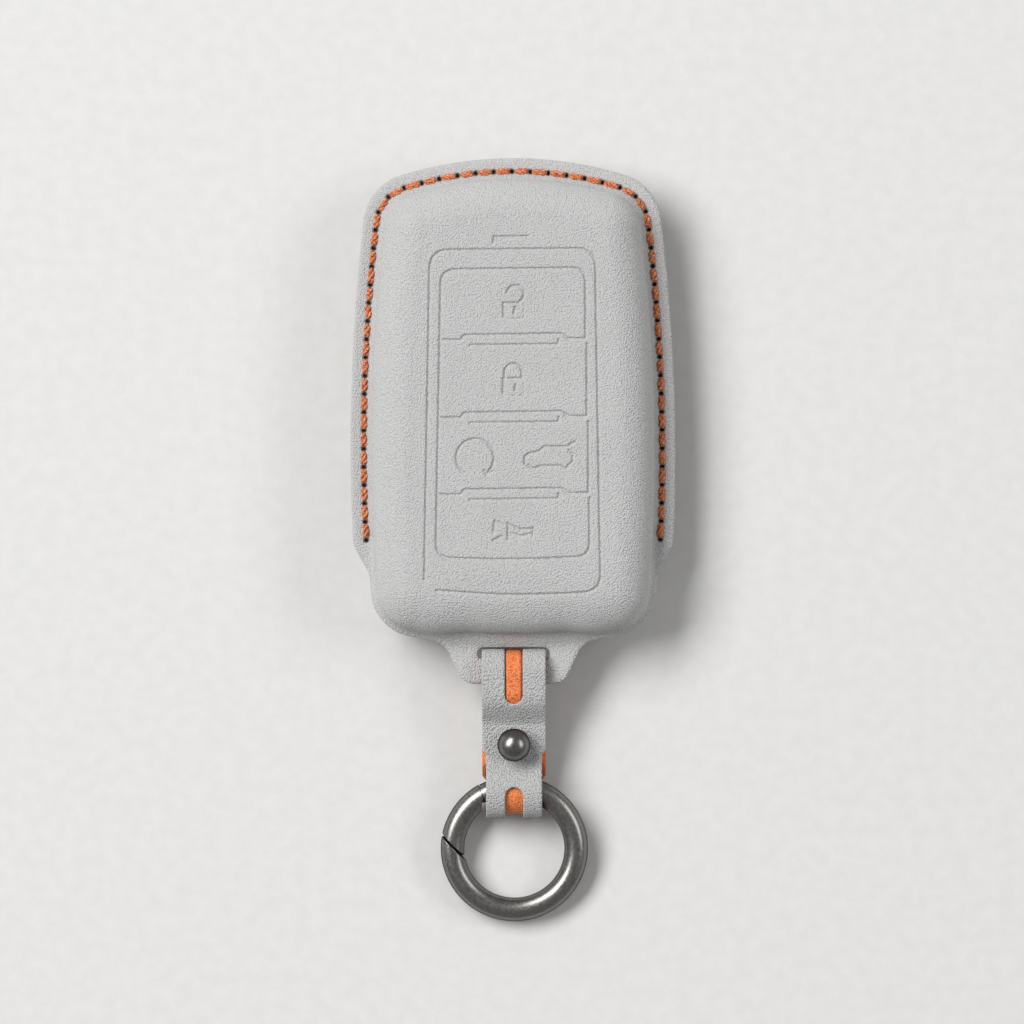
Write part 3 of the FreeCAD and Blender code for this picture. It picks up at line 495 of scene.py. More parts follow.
def relax(mesh: bpy.types.Mesh, weight: np.ndarray, rounds: int) -> None:
    """Smooth a skin where a weight says so.

    Args:
        mesh: Skin to smooth.
        weight: Share of the smoothing at each point.
        rounds: How often the points move towards their neighbours.
    """
    ends = np.zeros(len(mesh.edges) * 2, dtype=np.int64)
    mesh.edges.foreach_get("vertices", ends)
    first, second = ends.reshape(-1, 2).T
    points = points_of(mesh)
    total = len(points)
    count = np.bincount(ends, minlength=total)[:, None]
    for _ in range(rounds):
        sums = [
            np.bincount(first, points[second, i], total) + np.bincount(second, points[first, i], total)
            for i in range(3)
        ]
        points += SMOOTHING * weight[:, None] * (np.stack(sums, axis=1) / count - points)
    set_points(mesh, points)


def split_faces(mesh: bpy.types.Mesh, gap: Measure, reach_mm: Sequence[float]) -> None:
    """Divide the faces near a pattern, once for each reach.

    Args:
        mesh: Mesh to refine.
        gap: Function that gives the distance of points to the pattern, in millimetres.
        reach_mm: How far from the pattern each round of division goes.
    """
    grid = bmesh.new()
    grid.from_mesh(mesh)
    for reach in reach_mm:
        faces = list(grid.faces)
        middles = np.array([face.calc_center_median() for face in faces])
        near = np.flatnonzero(gap(middles) < reach)
        edges = {edge for number in near for edge in faces[number].edges}
        bmesh.ops.subdivide_edges(grid, edges=list(edges), cuts=1, use_grid_fill=True)
    grid.to_mesh(mesh)
    grid.free()
    smooth_shading(mesh)


def stroke_gap(points: np.ndarray, path: Sequence[Point]) -> np.ndarray:
    """Distance of points to a drawn line, seen from the front.

    Args:
        points: Rows of points in metres.
        path: Corners of the line in millimetres.

    Returns:
        Distances in millimetres.
    """
    flat = points[:, :2] / MM
    corners = [np.array(corner) for corner in path]
    best = np.full(len(flat), FAR)
    for start, end in zip(corners, corners[1:]):
        way = end - start
        share = np.clip((flat - start) @ way / max(way @ way, TINY), 0, 1)
        best = np.minimum(best, np.linalg.norm(flat - start - share[:, None] * way, axis=1))
    return best


def drawing_gap(points: np.ndarray, strokes: Sequence[Stroke], chosen: Measure) -> np.ndarray:
    """Distance of points to the nearest line of a drawing.

    Args:
        points: Rows of points in metres.
        strokes: Lines in millimetres.
        chosen: Function that tells which points take part.

    Returns:
        Distances in millimetres, far for the points that take no part.
    """
    best = np.full(len(points), FAR)
    part = np.flatnonzero(chosen(points))
    for stroke in strokes:
        best[part] = np.minimum(best[part], stroke_gap(points[part], stroke.path))
    return best


def press_strokes(
    mesh: bpy.types.Mesh, strokes: Sequence[Stroke], chosen: Measure, tool: PressTool
) -> None:
    """Press lines into the upper side of a skin.

    Args:
        mesh: Skin to press.
        strokes: Lines in millimetres.
        chosen: Function that tells which points take part.
        tool: Depth and half width of a full line.
    """
    reach = [tool.half_width_mm + SPLIT_MARGIN / (number + 1) for number in range(tool.divisions)]
    split_faces(mesh, lambda points: drawing_gap(points, strokes, chosen), reach)
    points = points_of(mesh)
    part = np.flatnonzero(chosen(points))
    sink = np.zeros(len(part))
    for stroke in strokes:
        near = stroke_gap(points[part], stroke.path) / tool.half_width_mm
        sink = np.maximum(sink, stroke.depth * dimple(near))
    points[part, 2] -= sink * tool.depth_mm * MM
    set_points(mesh, points)


def arc(centre: Point, radius: float, start: float, end: float, step: float = 9.0) -> list[Point]:
    """Points along an arc.

    Args:
        centre: Middle of the arc.
        radius: Its radius.
        start: First angle in degrees.
        end: Last angle in degrees.
        step: Angle between points.

    Returns:
        Points in order.
    """
    count = max(2, int(abs(end - start) / step))
    angles = [math.radians(start + (end - start) * i / count) for i in range(count + 1)]
    return [(centre[0] + radius * math.cos(a), centre[1] + radius * math.sin(a)) for a in angles]


def soft_corners(corners: Sequence[tuple[float, float, float]], pieces: int = 9) -> list[Point]:
    """Round the inner corners of a line.

    Args:
        corners: Places with the length of the rounding on each side; the first and last stay sharp.
        pieces: Number of points on each rounded corner.

    Returns:
        Points of the rounded line.
    """
    path = [corners[0][:2]]
    for before, corner, after in zip(corners, corners[1:], corners[2:]):
        middle, size = np.array(corner[:2]), corner[2]
        way_in = np.array(before[:2]) - middle
        way_out = np.array(after[:2]) - middle
        start = middle + way_in / np.linalg.norm(way_in) * size
        end = middle + way_out / np.linalg.norm(way_out) * size
        for share in np.linspace(0, 1, pieces):
            point = start * (1 - share) ** 2 + middle * 2 * share * (1 - share) + end * share**2
            path.append((float(point[0]), float(point[1])))
    path.append(corners[-1][:2])
    return path


# View
@dataclass(frozen=True)
class Viewpoint:
    """Camera straight above the cover; lines measured in its picture are laid onto the cover."""

    pixels_per_mm: float = 5.91
    image_pixels: float = 1024.0
    distance: float = 1.5
    focus_level: float = 8.5 * MM
    aim: Point = (-0.2, -17.09)  # point of the cover in the middle of the picture
    middle: Point = (-0.085, -17.09)  # the same place as measured in the picture
    roll: float = -0.195

    def on_level(self, path: Sequence[Point], level: float) -> list[Point]:
        """Lay a measured line onto a level of the cover.

        Args:
            path: Points as measured in the picture, in millimetres.
            level: Height of the surface, in metres.

        Returns:
            Points on the cover, in millimetres.
        """
        nearer = (self.distance + self.focus_level - level) / self.distance
        across = math.cos(math.radians(self.roll)) * nearer
        askew = math.sin(math.radians(self.roll)) * nearer
        turned = (np.array(path) - self.middle) @ np.array([[across, askew], [-askew, across]])
        return [(float(x), float(y)) for x, y in turned + self.aim]


# Case
@dataclass(frozen=True)
class SeamLine:
    """Line of the stitching round the case, tangent arcs on each side, in millimetres."""

    half_width: float = 25.2
    waist: float = -6.6
    side_radius: float = 327.7
    crown: float = 40.5
    crown_radius: float = 61.7
    shoulder_radius: float = 6.6
    end: float = -21.8
    side_step: float = 0.05  # angles between points of the three arcs, in degrees
    shoulder_step: float = 1.0
    crown_step: float = 0.2

    def points(self, step: float = 0.05) -> np.ndarray:
        """Walk the line from the lower right over the top to the lower left.

        Args:
            step: Distance between points.

        Returns:
            Points at even steps.
        """
        side = np.array([self.half_width - self.side_radius, self.waist])
        top = np.array([0.0, self.crown - self.crown_radius])
        side_reach = self.side_radius - self.shoulder_radius
        top_reach = self.crown_radius - self.shoulder_radius
        length = float(np.linalg.norm(top - side))
        unit = (top - side) / length
        along = (length**2 + side_reach**2 - top_reach**2) / (2 * length)
        aside = math.sqrt(side_reach**2 - along**2)
        options = [side + unit * along + sign * aside * np.array([-unit[1], unit[0]]) for sign in (1, -1)]
        corner = max(options, key=lambda point: point[1])
        side_angle = math.degrees(math.atan2(*(corner - side)[::-1]))
        top_angle = math.degrees(math.atan2(*(corner - top)[::-1]))
        start = math.degrees(math.asin((self.end - self.waist) / self.side_radius))
        half = arc(tuple(side), self.side_radius, start, side_angle, self.side_step)
        half += arc(tuple(corner), self.shoulder_radius, side_angle, top_angle, self.shoulder_step)[1:]
        half += arc(tuple(top), self.crown_radius, top_angle, 90.0, self.crown_step)[1:]
        line = np.array(half + [(-x, y) for x, y in half[-2::-1]])
        run = np.concatenate([[0], np.cumsum(np.linalg.norm(np.diff(line, axis=0), axis=1))])
        stations = np.linspace(0, run[-1], int(run[-1] / step))
        return np.stack([np.interp(stations, run, line[:, i]) for i in (0, 1)], axis=1)


class Emblem(Enum):
    """Plain pictograms pressed into the buttons."""

    OPEN_LOCK = "open_lock"
    CLOSED_LOCK = "closed_lock"
    TURN_ARROW = "turn_arrow"
    CAR_TAILGATE = "car_tailgate"
    HORN = "horn"

    def strokes(self) -> list[Stroke]:
        """Lines of the pictogram, as measured in the picture.

        Returns:
            Strokes in millimetres.
        """
        if self is Emblem.OPEN_LOCK:
            return [
                Stroke(1.0, arc((0.45, 20.0), 1.45, 172, -62)),
                Stroke(1.0, [(1.0, 18.5), (-1.55, 18.45), (-1.55, 16.1)]),
                Stroke(0.25, [(-1.55, 16.1), (-1.2, 15.8), (1.5, 15.8), (1.9, 16.1), (1.9, 18.4)]),
                Stroke(1.0, [(0.4, 17.75), (0.25, 16.75)]),
            ]
        if self is Emblem.CLOSED_LOCK:
            return [
                Stroke(1.0, [(-1.35, 5.75), *arc((0.1, 6.75), 1.45, 180, 0), (1.55, 5.75)]),
                Stroke(1.0, [(1.5, 5.72), (-1.6, 5.65), (-1.6, 3.15)]),
                Stroke(0.25, [(-1.6, 3.15), (-1.2, 2.8), (1.5, 2.8), (1.9, 3.1), (1.9, 5.6)]),
                Stroke(1.0, [(0.5, 4.65), (0.35, 3.75)]),
            ]
        if self is Emblem.TURN_ARROW:
            return [
                Stroke(1.0, [*arc((-6.35, -7.73), 3.2, 232, -30), (-4.45, -10.6)]),
                Stroke(1.0, [(-4.85, -9.85), (-4.45, -10.6), (-3.4, -10.0)]),
            ]
        if self is Emblem.CAR_TAILGATE:
            roof = [(2.07, -8.8), (2.1, -7.5), (2.7, -7.0), (4.4, -6.65), (5.3, -5.85), (9.3, -5.8)]
            rear = [(9.5, -6.3), (10.2, -7.2), (10.1, -8.4), (9.45, -9.0), (8.9, -9.6), (8.0, -9.1)]
            return [
                Stroke(1.0, [*roof, (9.8, -5.35), (10.5, -5.05)]),
                Stroke(0.9, rear),
                Stroke(0.9, [(8.0, -9.1), (4.6, -9.1), (3.8, -9.55), (3.0, -9.35), (2.5, -8.95)]),
            ]
        return [
            Stroke(0.9, [(-3.0, -18.4), (-3.25, -20.2)]),
            Stroke(1.0, [(-3.3, -21.7), (-1.75, -20.95)]),
            Stroke(0.5, [(-3.0, -18.4), (-1.6, -19.05)]),
            Stroke(1.0, [(-0.8, -18.8), (-0.8, -21.5)]),
            Stroke(1.0, [(-0.5, -19.1), (1.1, -19.8), (3.4, -19.8)]),
            Stroke(0.8, [(-0.2, -20.5), (1.3, -21.0), (3.3, -20.5)]),
            Stroke(1.0, [(3.4, -19.6), (3.4, -20.7)]),
        ]


@dataclass(frozen=True)
class ButtonPanel:
    """Pressed outline of the fob's buttons, as measured in the picture, in millimetres."""

    view: Viewpoint
    tool: PressTool = PressTool(depth_mm=0.38, half_width_mm=0.4, divisions=2)
    face_depth: float = 1.1  # points down to here under the face take part
    bar_levels: tuple[float, ...] = (12.2, -0.95, -13.95)
    bar_right: float = 12.35  # right border beside the first bar
    bar_drift: float = 0.25  # and how much further out it lies at each next one
    bar_gap: float = 0.65
    right_top: float = 22.2
    shade_shift: Point = (0.05, -0.22)  # from the dark side of a pressed line, as measured, to its middle

    def frame_strokes(self) -> list[Stroke]:
        """Two nested frames and the short line above them.

        Returns:
            Strokes in millimetres.
        """
        outer = [(-14.9, -28.3, 0), (-13.95, 27.4, 3.2), (14.0, 27.7, 3.2), (14.95, -30.4, 3.2)]
        foot = [(0.0, -31.15, 8.0), (-12.9, -30.2, 0)]
        inner = [(12.3, self.right_top, 0), (12.25, 24.4, 2.2), (-12.1, 24.1, 2.4), (-12.95, -24.6, 2.4)]
        chin = [(0.0, -25.1, 8.0), (13.05, -24.4, 2.4), (13.0, self.bar_levels[-1] - self.bar_gap, 0)]
        mark = [(-3.25, 28.75), (-3.15, 29.65), (2.6, 29.75)]
        return [
            Stroke(1.0, soft_corners(outer + foot)),
            Stroke(1.0, soft_corners(inner + chin)),
            Stroke(1.0, mark),
        ]

    def bar_strokes(self, level: float, above: float, right: float) -> list[Stroke]:
        """Raised bar between two buttons, with the stubs and the border beside it.

        Args:
            level: Height of the left stub.
            above: Where the border on the right begins.
            right: Place of that border.

        Returns:
            Strokes in millimetres.
        """
        over = [(-12.5, level, 0), (-8.8, level, 0.3), (-8.25, level + 0.82, 0.3), (8.4, level + 1.05, 0.5)]
        stub = [(9.3, level + 0.25, 0.4), (right, level + 0.25, 0.4), (right, above, 0)]
        under = [(-7.25, level - 0.88, 0), (7.75, level - 0.7, 0.35), (7.8, level + 0.1, 0)]
        return [Stroke(1.0, soft_corners(over + stub)), Stroke(0.9, soft_corners(under))]

    def strokes(self) -> list[Stroke]:
        """All lines of the panel and its pictograms.

        Returns:
            Strokes in millimetres.
        """
        lines = self.frame_strokes()
        above = self.right_top
        for number, level in enumerate(self.bar_levels):
            lines += self.bar_strokes(level, above, self.bar_right + self.bar_drift * number)
            above = level - self.bar_gap
        for emblem in Emblem:
            lines += emblem.strokes()
        return lines

    def press(self, mesh: bpy.types.Mesh, level: float) -> None:
        """Press the lines into the front face of a mesh.

        Args:
            mesh: Skin of the front half.
            level: Height of its flat face, in metres.
        """
        lines = []
        for depth, path in self.strokes():
            moved = [(x + self.shade_shift[0], y + self.shade_shift[1]) for x, y in path]
            lines.append(Stroke(depth, self.view.on_level(moved, level)))
        lowest = level - self.face_depth * MM
        press_strokes(mesh, lines, lambda spots: spots[:, 2] > lowest, self.tool)


@dataclass(frozen=True)
class SaddleStitch:
    """Row of three-ply stitches along the rim, in millimetres."""

    count: int = 52
    length: float = 2.5
    length_spread: float = 0.045  # as a share of the length
    heading_spread: float = 3.5  # in degrees
    phase_range: float = 2.0  # in radians
    seed: int = 12
    plies: int = 3
    ply_radius: float = 0.31
    ply_offset: float = 0.31
    turns: float = 0.7
    rise: float = 0.16
    dive: float = 0.6
    bow_power: int = 6  # how squarely a stitch turns down into its holes
    end_thickness: float = 0.75  # share of its thickness that a stitch keeps in the hole
    hole_radius: float = 0.74
    hole_depth: float = 0.7
    stations: int = 17
    sides: int = 8
    line: SeamLine = SeamLine()

    def holes(self) -> np.ndarray:
        """Needle holes along the seam, one more than there are stitches."""
        walk = self.line.points()
        return walk[np.linspace(0, len(walk) - 1, self.count + 1).astype(int)]

    def build(self, name: str, side: Side, level: float) -> bpy.types.Object:
        """Make the whole row on one face of the rim.

        Args:
            name: Name of the piece.
            side: Half of the case that it lies on.
            level: Height of the rim's face, in metres.

        Returns:
            One piece with all stitches of that row.
        """
        chance = np.random.default_rng(self.seed - side.value)
        holes = self.holes()
        grid = bmesh.new()
        for start, end in zip(holes, holes[1:]):
            way = end - start
            heading = math.atan2(way[1], way[0]) + math.radians(chance.normal(0, self.heading_spread))
            reach = self.length * chance.normal(1, self.length_spread)
            phase = chance.uniform(0, self.phase_range)
            for ply in range(self.plies):
                turn = phase + 2 * math.pi * ply / self.plies
                self.add_ply(grid, (start + end) / 2, heading, reach, turn, side, level)
        mesh = bpy.data.meshes.new(name)
        grid.to_mesh(mesh)
        grid.free()
        smooth_shading(mesh)
        return new_object(name, mesh)

    def add_ply(
        self,
        grid: bmesh.types.BMesh,
        middle: np.ndarray,
        heading: float,
        reach: float,
        phase: float,
        side: Side,
        level: float,
    ) -> None:
        """Add one ply of one stitch.

        Args:
            grid: Mesh that gets the ply.
            middle: Middle of the stitch.
            heading: Direction of the stitch as an angle.
            reach: Length of the stitch.
            phase: Angle of the ply round the stitch at its start.
            side: Half of the case that it lies on.
            level: Height of the rim's face, in metres.
        """
        along = Vector((math.cos(heading), math.sin(heading), 0))
        up = Vector((0, 0, side.value))
        aside = up.cross(along)
        rings = []
        for share in np.linspace(0, 1, self.stations):
            bow = 1 - abs(2 * share - 1) ** self.bow_power
            thick = self.end_thickness + (1 - self.end_thickness) * bow
            twist = phase + 2 * math.pi * self.turns * share
            out = aside * math.cos(twist) + up * math.sin(twist)
            core = Vector((middle[0], middle[1], 0)) + along * (reach * (share - 0.5))
            core += up * (self.rise * bow - self.dive * (1 - bow)) + out * self.ply_offset * thick
            ring = []
            for corner in range(self.sides):
                angle = 2 * math.pi * corner / self.sides
                rim = aside * math.cos(angle) + up * math.sin(angle)
                spot = (core + rim * self.ply_radius * thick) * MM
                ring.append(grid.verts.new(spot + Vector((0, 0, level))))
            rings.append(ring)
        for first, second in zip(rings, rings[1:]):
            for corner in range(self.sides):
                after = (corner + 1) % self.sides
                loop = [first[corner], second[corner], second[after], first[after]]
                grid.faces.new(loop if side is Side.BACK else loop[::-1])
        for ring in (rings[0], rings[-1]):
            grid.faces.new(ring)


@dataclass
class Case:
    """Two moulded suede halves, their linings and the thread that joins them; sizes in millimetres."""

    palette: Palette
    view: Viewpoint
    front_voxel_mm: float = 0.3
    back_voxel_mm: float = 0.4
    rounds: int = 4
    rim_mm: float = 1.4
    ease_start: float = -26.5  # the face falls softly towards the mouth from here on
    ease_end: float = -36.5
    ease_drop: float = 0.7
    ease_back: float = 1.3
    ease_sides: Span = (7.0, 15.0)  # the mouth's middle gives way, and its sides stand
    ease_levels: Span = (0.02, 0.15)  # shares of the height between which the give sets in
    foot_rounds: int = 45
    foot_height: float = 3.0  # the dome's foot is softened up to here above the rim
    foot_depth: float = 0.15  # and from here below the rim's face
    mouth_start: Span = (21.0, 27.0)  # the unsewn mouth, as distances below the origin
    mouth_end: Span = (39.0, 40.0)
    seam_softness: float = 0.12
    cove_start: float = 0.3  # suede drawn up between the thread and the dome, counted from the seam
    cove_reach: float = 2.4
    cove_slope: float = 1.3
    cove_height: float = 2.2
    cove_depth: float = 0.2
    cove_fade: float = 3.0  # length of seam over which the cove ends at the mouth
    cove_step: float = 0.1
    hole_level: float = 0.5  # needle holes go into points this near to the rim's face
    hole_split: float = 1.1  # faces are divided this far round a hole
    hole_shade_gain: float = 2.2  # how fast the painted shade darkens with the depth of a hole
    hole_shade_threshold: float = 0.3  # and how much of that painted shade is held back at its edge
    stitch: SaddleStitch = SaddleStitch()

    def build(self) -> None:
        """Build both halves, then dress the linings."""
        front_low, front_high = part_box("front_shell")
        self.half(Side.FRONT, self.front_voxel_mm, front_low.z, front_high.z)
        back_low, back_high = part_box("back_shell")
        self.half(Side.BACK, self.back_voxel_mm, back_high.z, back_low.z)
        for node in ("front_lining", "back_lining"):
            dress(frame["nodes"][node], self.palette.lining)

    def half(self, side: Side, voxel_mm: float, seam: float, face: float) -> None:
        """Build one half with its row of stitches.

        Args:
            side: Which half.
            voxel_mm: Spacing of its skin.
            seam: Height of the seam plane.
            face: Height of its flat face.
        """
        half = side.name.lower()
        leather = soft_copy(f"{half}_shell", f"{half}_suede", voxel_mm, self.rounds)
        rim = seam + side.value * self.rim_mm * MM
        self.fill_crease(leather.data, side, rim)
        self.soften_foot(leather.data, side, rim)
        self.prick(leather.data, side, rim)
        if side is Side.FRONT:
            self.ease_mouth(leather.data, rim, face)
            ButtonPanel(self.view).press(leather.data, face)
        dress(leather, self.palette.suede)
        settle(leather, Body.CASE, f"{half}_shell")
        thread = self.stitch.build(f"{half}_thread", side, rim)
        dress(thread, self.palette.thread)
        settle(thread, Body.CASE, f"{half}_stitches")

    def fill_crease(self, mesh: bpy.types.Mesh, side: Side, rim: float) -> None:
        """Draw the suede up from the thread to the dome, so that no flat strip shows between them.

        Args:
            mesh: Skin of one half.
            side: Which half.
            rim: Height of the rim's face.
        """
        line = self.stitch.line
        walk = line.points(self.cove_step)
        tree = KDTree(len(walk))
        for number, (x, y) in enumerate(walk):
            tree.insert((x, y, 0.0), number)
        tree.balance()
        ways = np.gradient(walk, axis=0)
        points = points_of(mesh)
        height = (points[:, 2] - rim) * side.value / MM
        sewn = ramp(points[:, 1] / MM, line.end, line.end + self.cove_fade)
        for spot in np.flatnonzero((height > -self.cove_depth) & (height < self.cove_height) & (sewn > 0)):
            x, y = points[spot, :2] / MM
            _, number, away = tree.find((x, y, 0.0))
            inside = ways[number][0] * (y - walk[number][1]) - ways[number][1] * (x - walk[number][0]) > 0
            if inside and self.cove_start < away < self.cove_reach:
                cove = min(self.cove_slope * (away - self.cove_start), self.cove_height)
                points[spot, 2] += side.value * sewn[spot] * max(0.0, cove - height[spot]) * MM
        set_points(mesh, points)

    def soften_foot(self, mesh: bpy.types.Mesh, side: Side, rim: float) -> None:
        """Soften the crease between dome and rim, most of all at the unsewn mouth.

        Args:
            mesh: Skin of one half.
            side: Which half.
            rim: Height of the rim's face.
        """
        points = points_of(mesh)
        height = (points[:, 2] - rim) * side.value / MM
        below = -points[:, 1] / MM
        weight = ramp(height, -self.foot_depth, 0.0)
        weight *= 1 - ramp(height, 0.5 * self.foot_height, self.foot_height)
        mouth = ramp(below, *self.mouth_start) * (1 - ramp(below, *self.mouth_end))
        relax(mesh, weight * (self.seam_softness + (1 - self.seam_softness) * mouth), self.foot_rounds)

    def ease_mouth(self, mesh: bpy.types.Mesh, rim: float, face: float) -> None:
        """Let the front face fall softly towards the mouth.

        Args:
            mesh: Skin of the front half.
            rim: Height of the rim's face.
            face: Height of the flat face.
        """
        points = points_of(mesh)
        height = np.clip((points[:, 2] - rim) / (face - rim), 0, 1)
        share = ramp(-points[:, 1] / MM, -self.ease_start, -self.ease_end)
        centre = 1 - ramp(np.abs(points[:, 0]) / MM, *self.ease_sides)
        points[:, 1] += share * centre * ramp(height, *self.ease_levels) * self.ease_back * MM
        points[:, 2] -= share * height * self.ease_drop * MM
        set_points(mesh, points)

    def hole_gap(self, points: np.ndarray, rim: float) -> np.ndarray:
        """Distance of points on the rim to the nearest needle hole.

        Args:
            points: Rows of points in metres.
            rim: Height of the rim's face.

        Returns:
            Distances in millimetres, far for points off the rim.
        """
        best = np.full(len(points), FAR)
        level = np.flatnonzero(np.abs(points[:, 2] - rim) < self.hole_level * MM)
        for hole in self.stitch.holes():
            away = np.linalg.norm(points[level, :2] / MM - hole, axis=1)
            best[level] = np.minimum(best[level], away)
        return best

    def prick(self, mesh: bpy.types.Mesh, side: Side, rim: float) -> None:
        """Press the needle holes into the rim and paint shade into them for the finish.

        Args:
            mesh: Skin of one half.
            side: Which half.
            rim: Height of the rim's face.
        """
        split_faces(mesh, lambda spots: self.hole_gap(spots, rim), (self.hole_split,))
        points = points_of(mesh)
        depth = dimple(self.hole_gap(points, rim) / self.stitch.hole_radius)
        points[:, 2] -= side.value * depth * self.stitch.hole_depth * MM
        set_points(mesh, points)
        # Painted shade inside the needle holes, darkest at their bottoms.
        paint_shade(mesh, np.clip(depth * self.hole_shade_gain - self.hole_shade_threshold, 0, 1))


# Strap
@dataclass
class Strap:
    """Folded strap of two layers, a little baggy above the stud; sizes in millimetres."""

    palette: Palette
    view: Viewpoint
    voxel_mm: float = 0.2
    rounds: int = 3
    bag_middle: float = -49.3  # the front layer stands off most here
    bag_rise: float = 5.0  # length of the swelling towards the tab
    bag_fall: float = 4.0  # and towards the stud
    bag_height: float = 1.4
    bag_edge: float = 0.8  # height over the middle plane at which the full swelling is reached
    window_half: float = 1.45
    window_edge: float = 0.3
    pillow: float = 0.55  # the orange layer swells into the upper window
    pillow_fade: Span = (-1.0, 1.5)  # where that begins, counted from the bag's middle
    pillow_levels: Span = (-1.5, 0.5)  # and how high, counted from the tab's bar
    crease: tuple[Point, ...] = ((-1.5, -59.15), (0.2, -59.4), (2.0, -59.15))
    crease_tool: PressTool = PressTool(depth_mm=0.14, half_width_mm=0.3, divisions=1)
    crease_level: float = 1.0  # only points higher than this over the middle plane are creased
    tab: Vector = field(init=False)
    loop: Vector = field(init=False)

    def build(self) -> None:
        """Build the suede layer and the orange layer inside it."""
        joints = {joint["name"]: joint["pos_m"] for joint in frame["joints"]}
        self.tab = Vector(joints["strap_swing"])
        self.loop = Vector(joints["ring_swing"])
        outer = soft_copy("strap_outer", "strap_suede", self.voxel_mm, self.rounds)
        self.bag(outer.data)
        self.fold(outer.data)
        dress(outer, self.palette.worn)
        settle(outer, Body.STRAP, "strap_outer")
        inner = soft_copy("strap_lining", "strap_orange_layer", self.voxel_mm, self.rounds)
        self.bag(inner.data)
        self.swell(inner.data)
        dress(inner, self.palette.orange)
        settle(inner, Body.STRAP, "strap_lining")

    def above(self, points: np.ndarray) -> np.ndarray:
        """Height of points over the middle plane between the strap's two loops."""
        slope = (self.tab.z - self.loop.z) / (self.tab.y - self.loop.y)
        return points[:, 2] - self.tab.z - (points[:, 1] - self.tab.y) * slope

    def bag(self, mesh: bpy.types.Mesh) -> None:
        """Raise the front layer softly between the tab and the stud.

        Args:
            mesh: Skin of one layer.
        """
        points = points_of(mesh)
        along = points[:, 1] / MM - self.bag_middle
        along = np.clip(along / np.where(along > 0, self.bag_rise, self.bag_fall), -1, 1)
        lift = np.cos(math.pi / 2 * along) ** 2 * ramp(self.above(points), 0, self.bag_edge * MM)
        points[:, 2] += lift * self.bag_height * MM
        set_points(mesh, points)

    def fold(self, mesh: bpy.types.Mesh) -> None:
        """Press the faint crease below the ball into the front layer.

        Args:
            mesh: Skin of the suede layer.
        """
        crease = Stroke(1.0, self.view.on_level(self.crease, self.tab.z))
        lowest = self.crease_level * MM
        press_strokes(mesh, [crease], lambda spots: self.above(spots) > lowest, self.crease_tool)

    def swell(self, mesh: bpy.types.Mesh) -> None:
        """Let the orange layer swell into the upper window where it goes round the tab.

        Args:
            mesh: Skin of the orange layer.
        """
        points = points_of(mesh)
        way = points - np.array(self.tab)
        way[:, 0] = 0
        way[:, 1] = np.maximum(way[:, 1], 0)
        begin, full = self.pillow_fade
        low, high = self.pillow_levels
        share = 1 - ramp(np.abs(points[:, 0]) / MM, self.window_half - self.window_edge, self.window_half)
        share *= ramp(points[:, 1] / MM, self.bag_middle + begin, self.bag_middle + full)
        share *= ramp(points[:, 2] - self.tab.z, low * MM, high * MM)
        length = np.maximum(np.linalg.norm(way, axis=1), TINY)
        points += way / length[:, None] * share[:, None] * self.pillow * MM
        set_points(mesh, points)


# Metal
@dataclass
class RoundMetal(ABC):
    """Round metal, copied from faceted solids and shaded as the exact surface, with shade painted where it dips
    under that surface.
    """

    palette: Palette
    weld: float = 0.0005 * MM
    sharp_angle: float = 30.0
    near: float = 0.03 * MM  # faces this near to the round surface take its normals
    facing: float = 0.9  # if they face its way by at least this much
    full_shade_depth: float = 0.15 * MM  # depth under the round surface at which the painted shade of a joint is full
    darkest_shade: float = 0.75  # the darkest painted shade, so that open end faces don't look black

    @abstractmethod
    def outward(self, spots: np.ndarray) -> tuple[np.ndarray, np.ndarray]:
        """Exact normals of the round surface at points, and their heights over it."""

    def round_copy(self, node: str, name: str) -> bpy.types.Object:
        """Copy a faceted solid, shade it as the exact surface and paint shade into its joints.

        Args:
            node: CAD node to copy.
            name: Name of the new piece.

        Returns:
            The new piece.
        """
        mesh = frame["nodes"][node].data.copy()
        if "custom_normal" in mesh.attributes:
            mesh.attributes.remove(mesh.attributes["custom_normal"])
        grid = bmesh.new()
        grid.from_mesh(mesh)
        bmesh.ops.remove_doubles(grid, verts=grid.verts, dist=self.weld)
        grid.to_mesh(mesh)
        grid.free()
        smooth_shading(mesh)
        mesh.set_sharp_from_angle(angle=math.radians(self.sharp_angle))
        normals, off = self.outward(points_of(mesh))
        shades = np.array([corner.vector for corner in mesh.corner_normals])
        for face in mesh.polygons:
            corners = list(face.vertices)
            alike = np.mean(normals[corners] @ np.array(face.normal))
            if np.all(np.abs(off[corners]) < self.near) and alike > self.facing:
                shades[list(face.loop_indices)] = normals[corners]
        mesh.normals_split_custom_set(shades.tolist())
        # Painted shade in joints and hollows, darker the deeper they lie under the round surface.
        paint_shade(mesh, np.clip(-off / self.full_shade_depth, 0, self.darkest_shade))
        return new_object(name, mesh)


@dataclass
class Stud(RoundMetal):
    """Ball-headed stud and the screw that closes it from behind."""

    ball_radius: float = 2.8 * MM
    middle: np.ndarray = field(init=False)

    def build(self) -> None:
        """Copy the ball with true roundness and dress the screw."""
        points = points_of(frame["nodes"]["ball_stud"].data)
        ball_part = points[points[:, 2] > points[:, 2].max() - self.ball_radius]
        system = np.c_[2 * ball_part, np.ones(len(ball_part))]
        self.middle = np.linalg.lstsq(system, (ball_part**2).sum(axis=1), rcond=None)[0][:3]
        ball = self.round_copy("ball_stud", "stud_ball")
        dress(ball, self.palette.stud)
        settle(ball, Body.STRAP, "ball_stud")
        dress(frame["nodes"]["stud_screw"], self.palette.stud)

    def outward(self, spots: np.ndarray) -> tuple[np.ndarray, np.ndarray]:
        """Exact normals of the ball.

        Args:
            spots: Points on or near the ball.

        Returns:
            Normals, and heights over the ball's surface.
        """
        away = spots - self.middle
        length = np.linalg.norm(away, axis=1)
        return away / np.maximum(length, TINY)[:, None], length - self.ball_radius


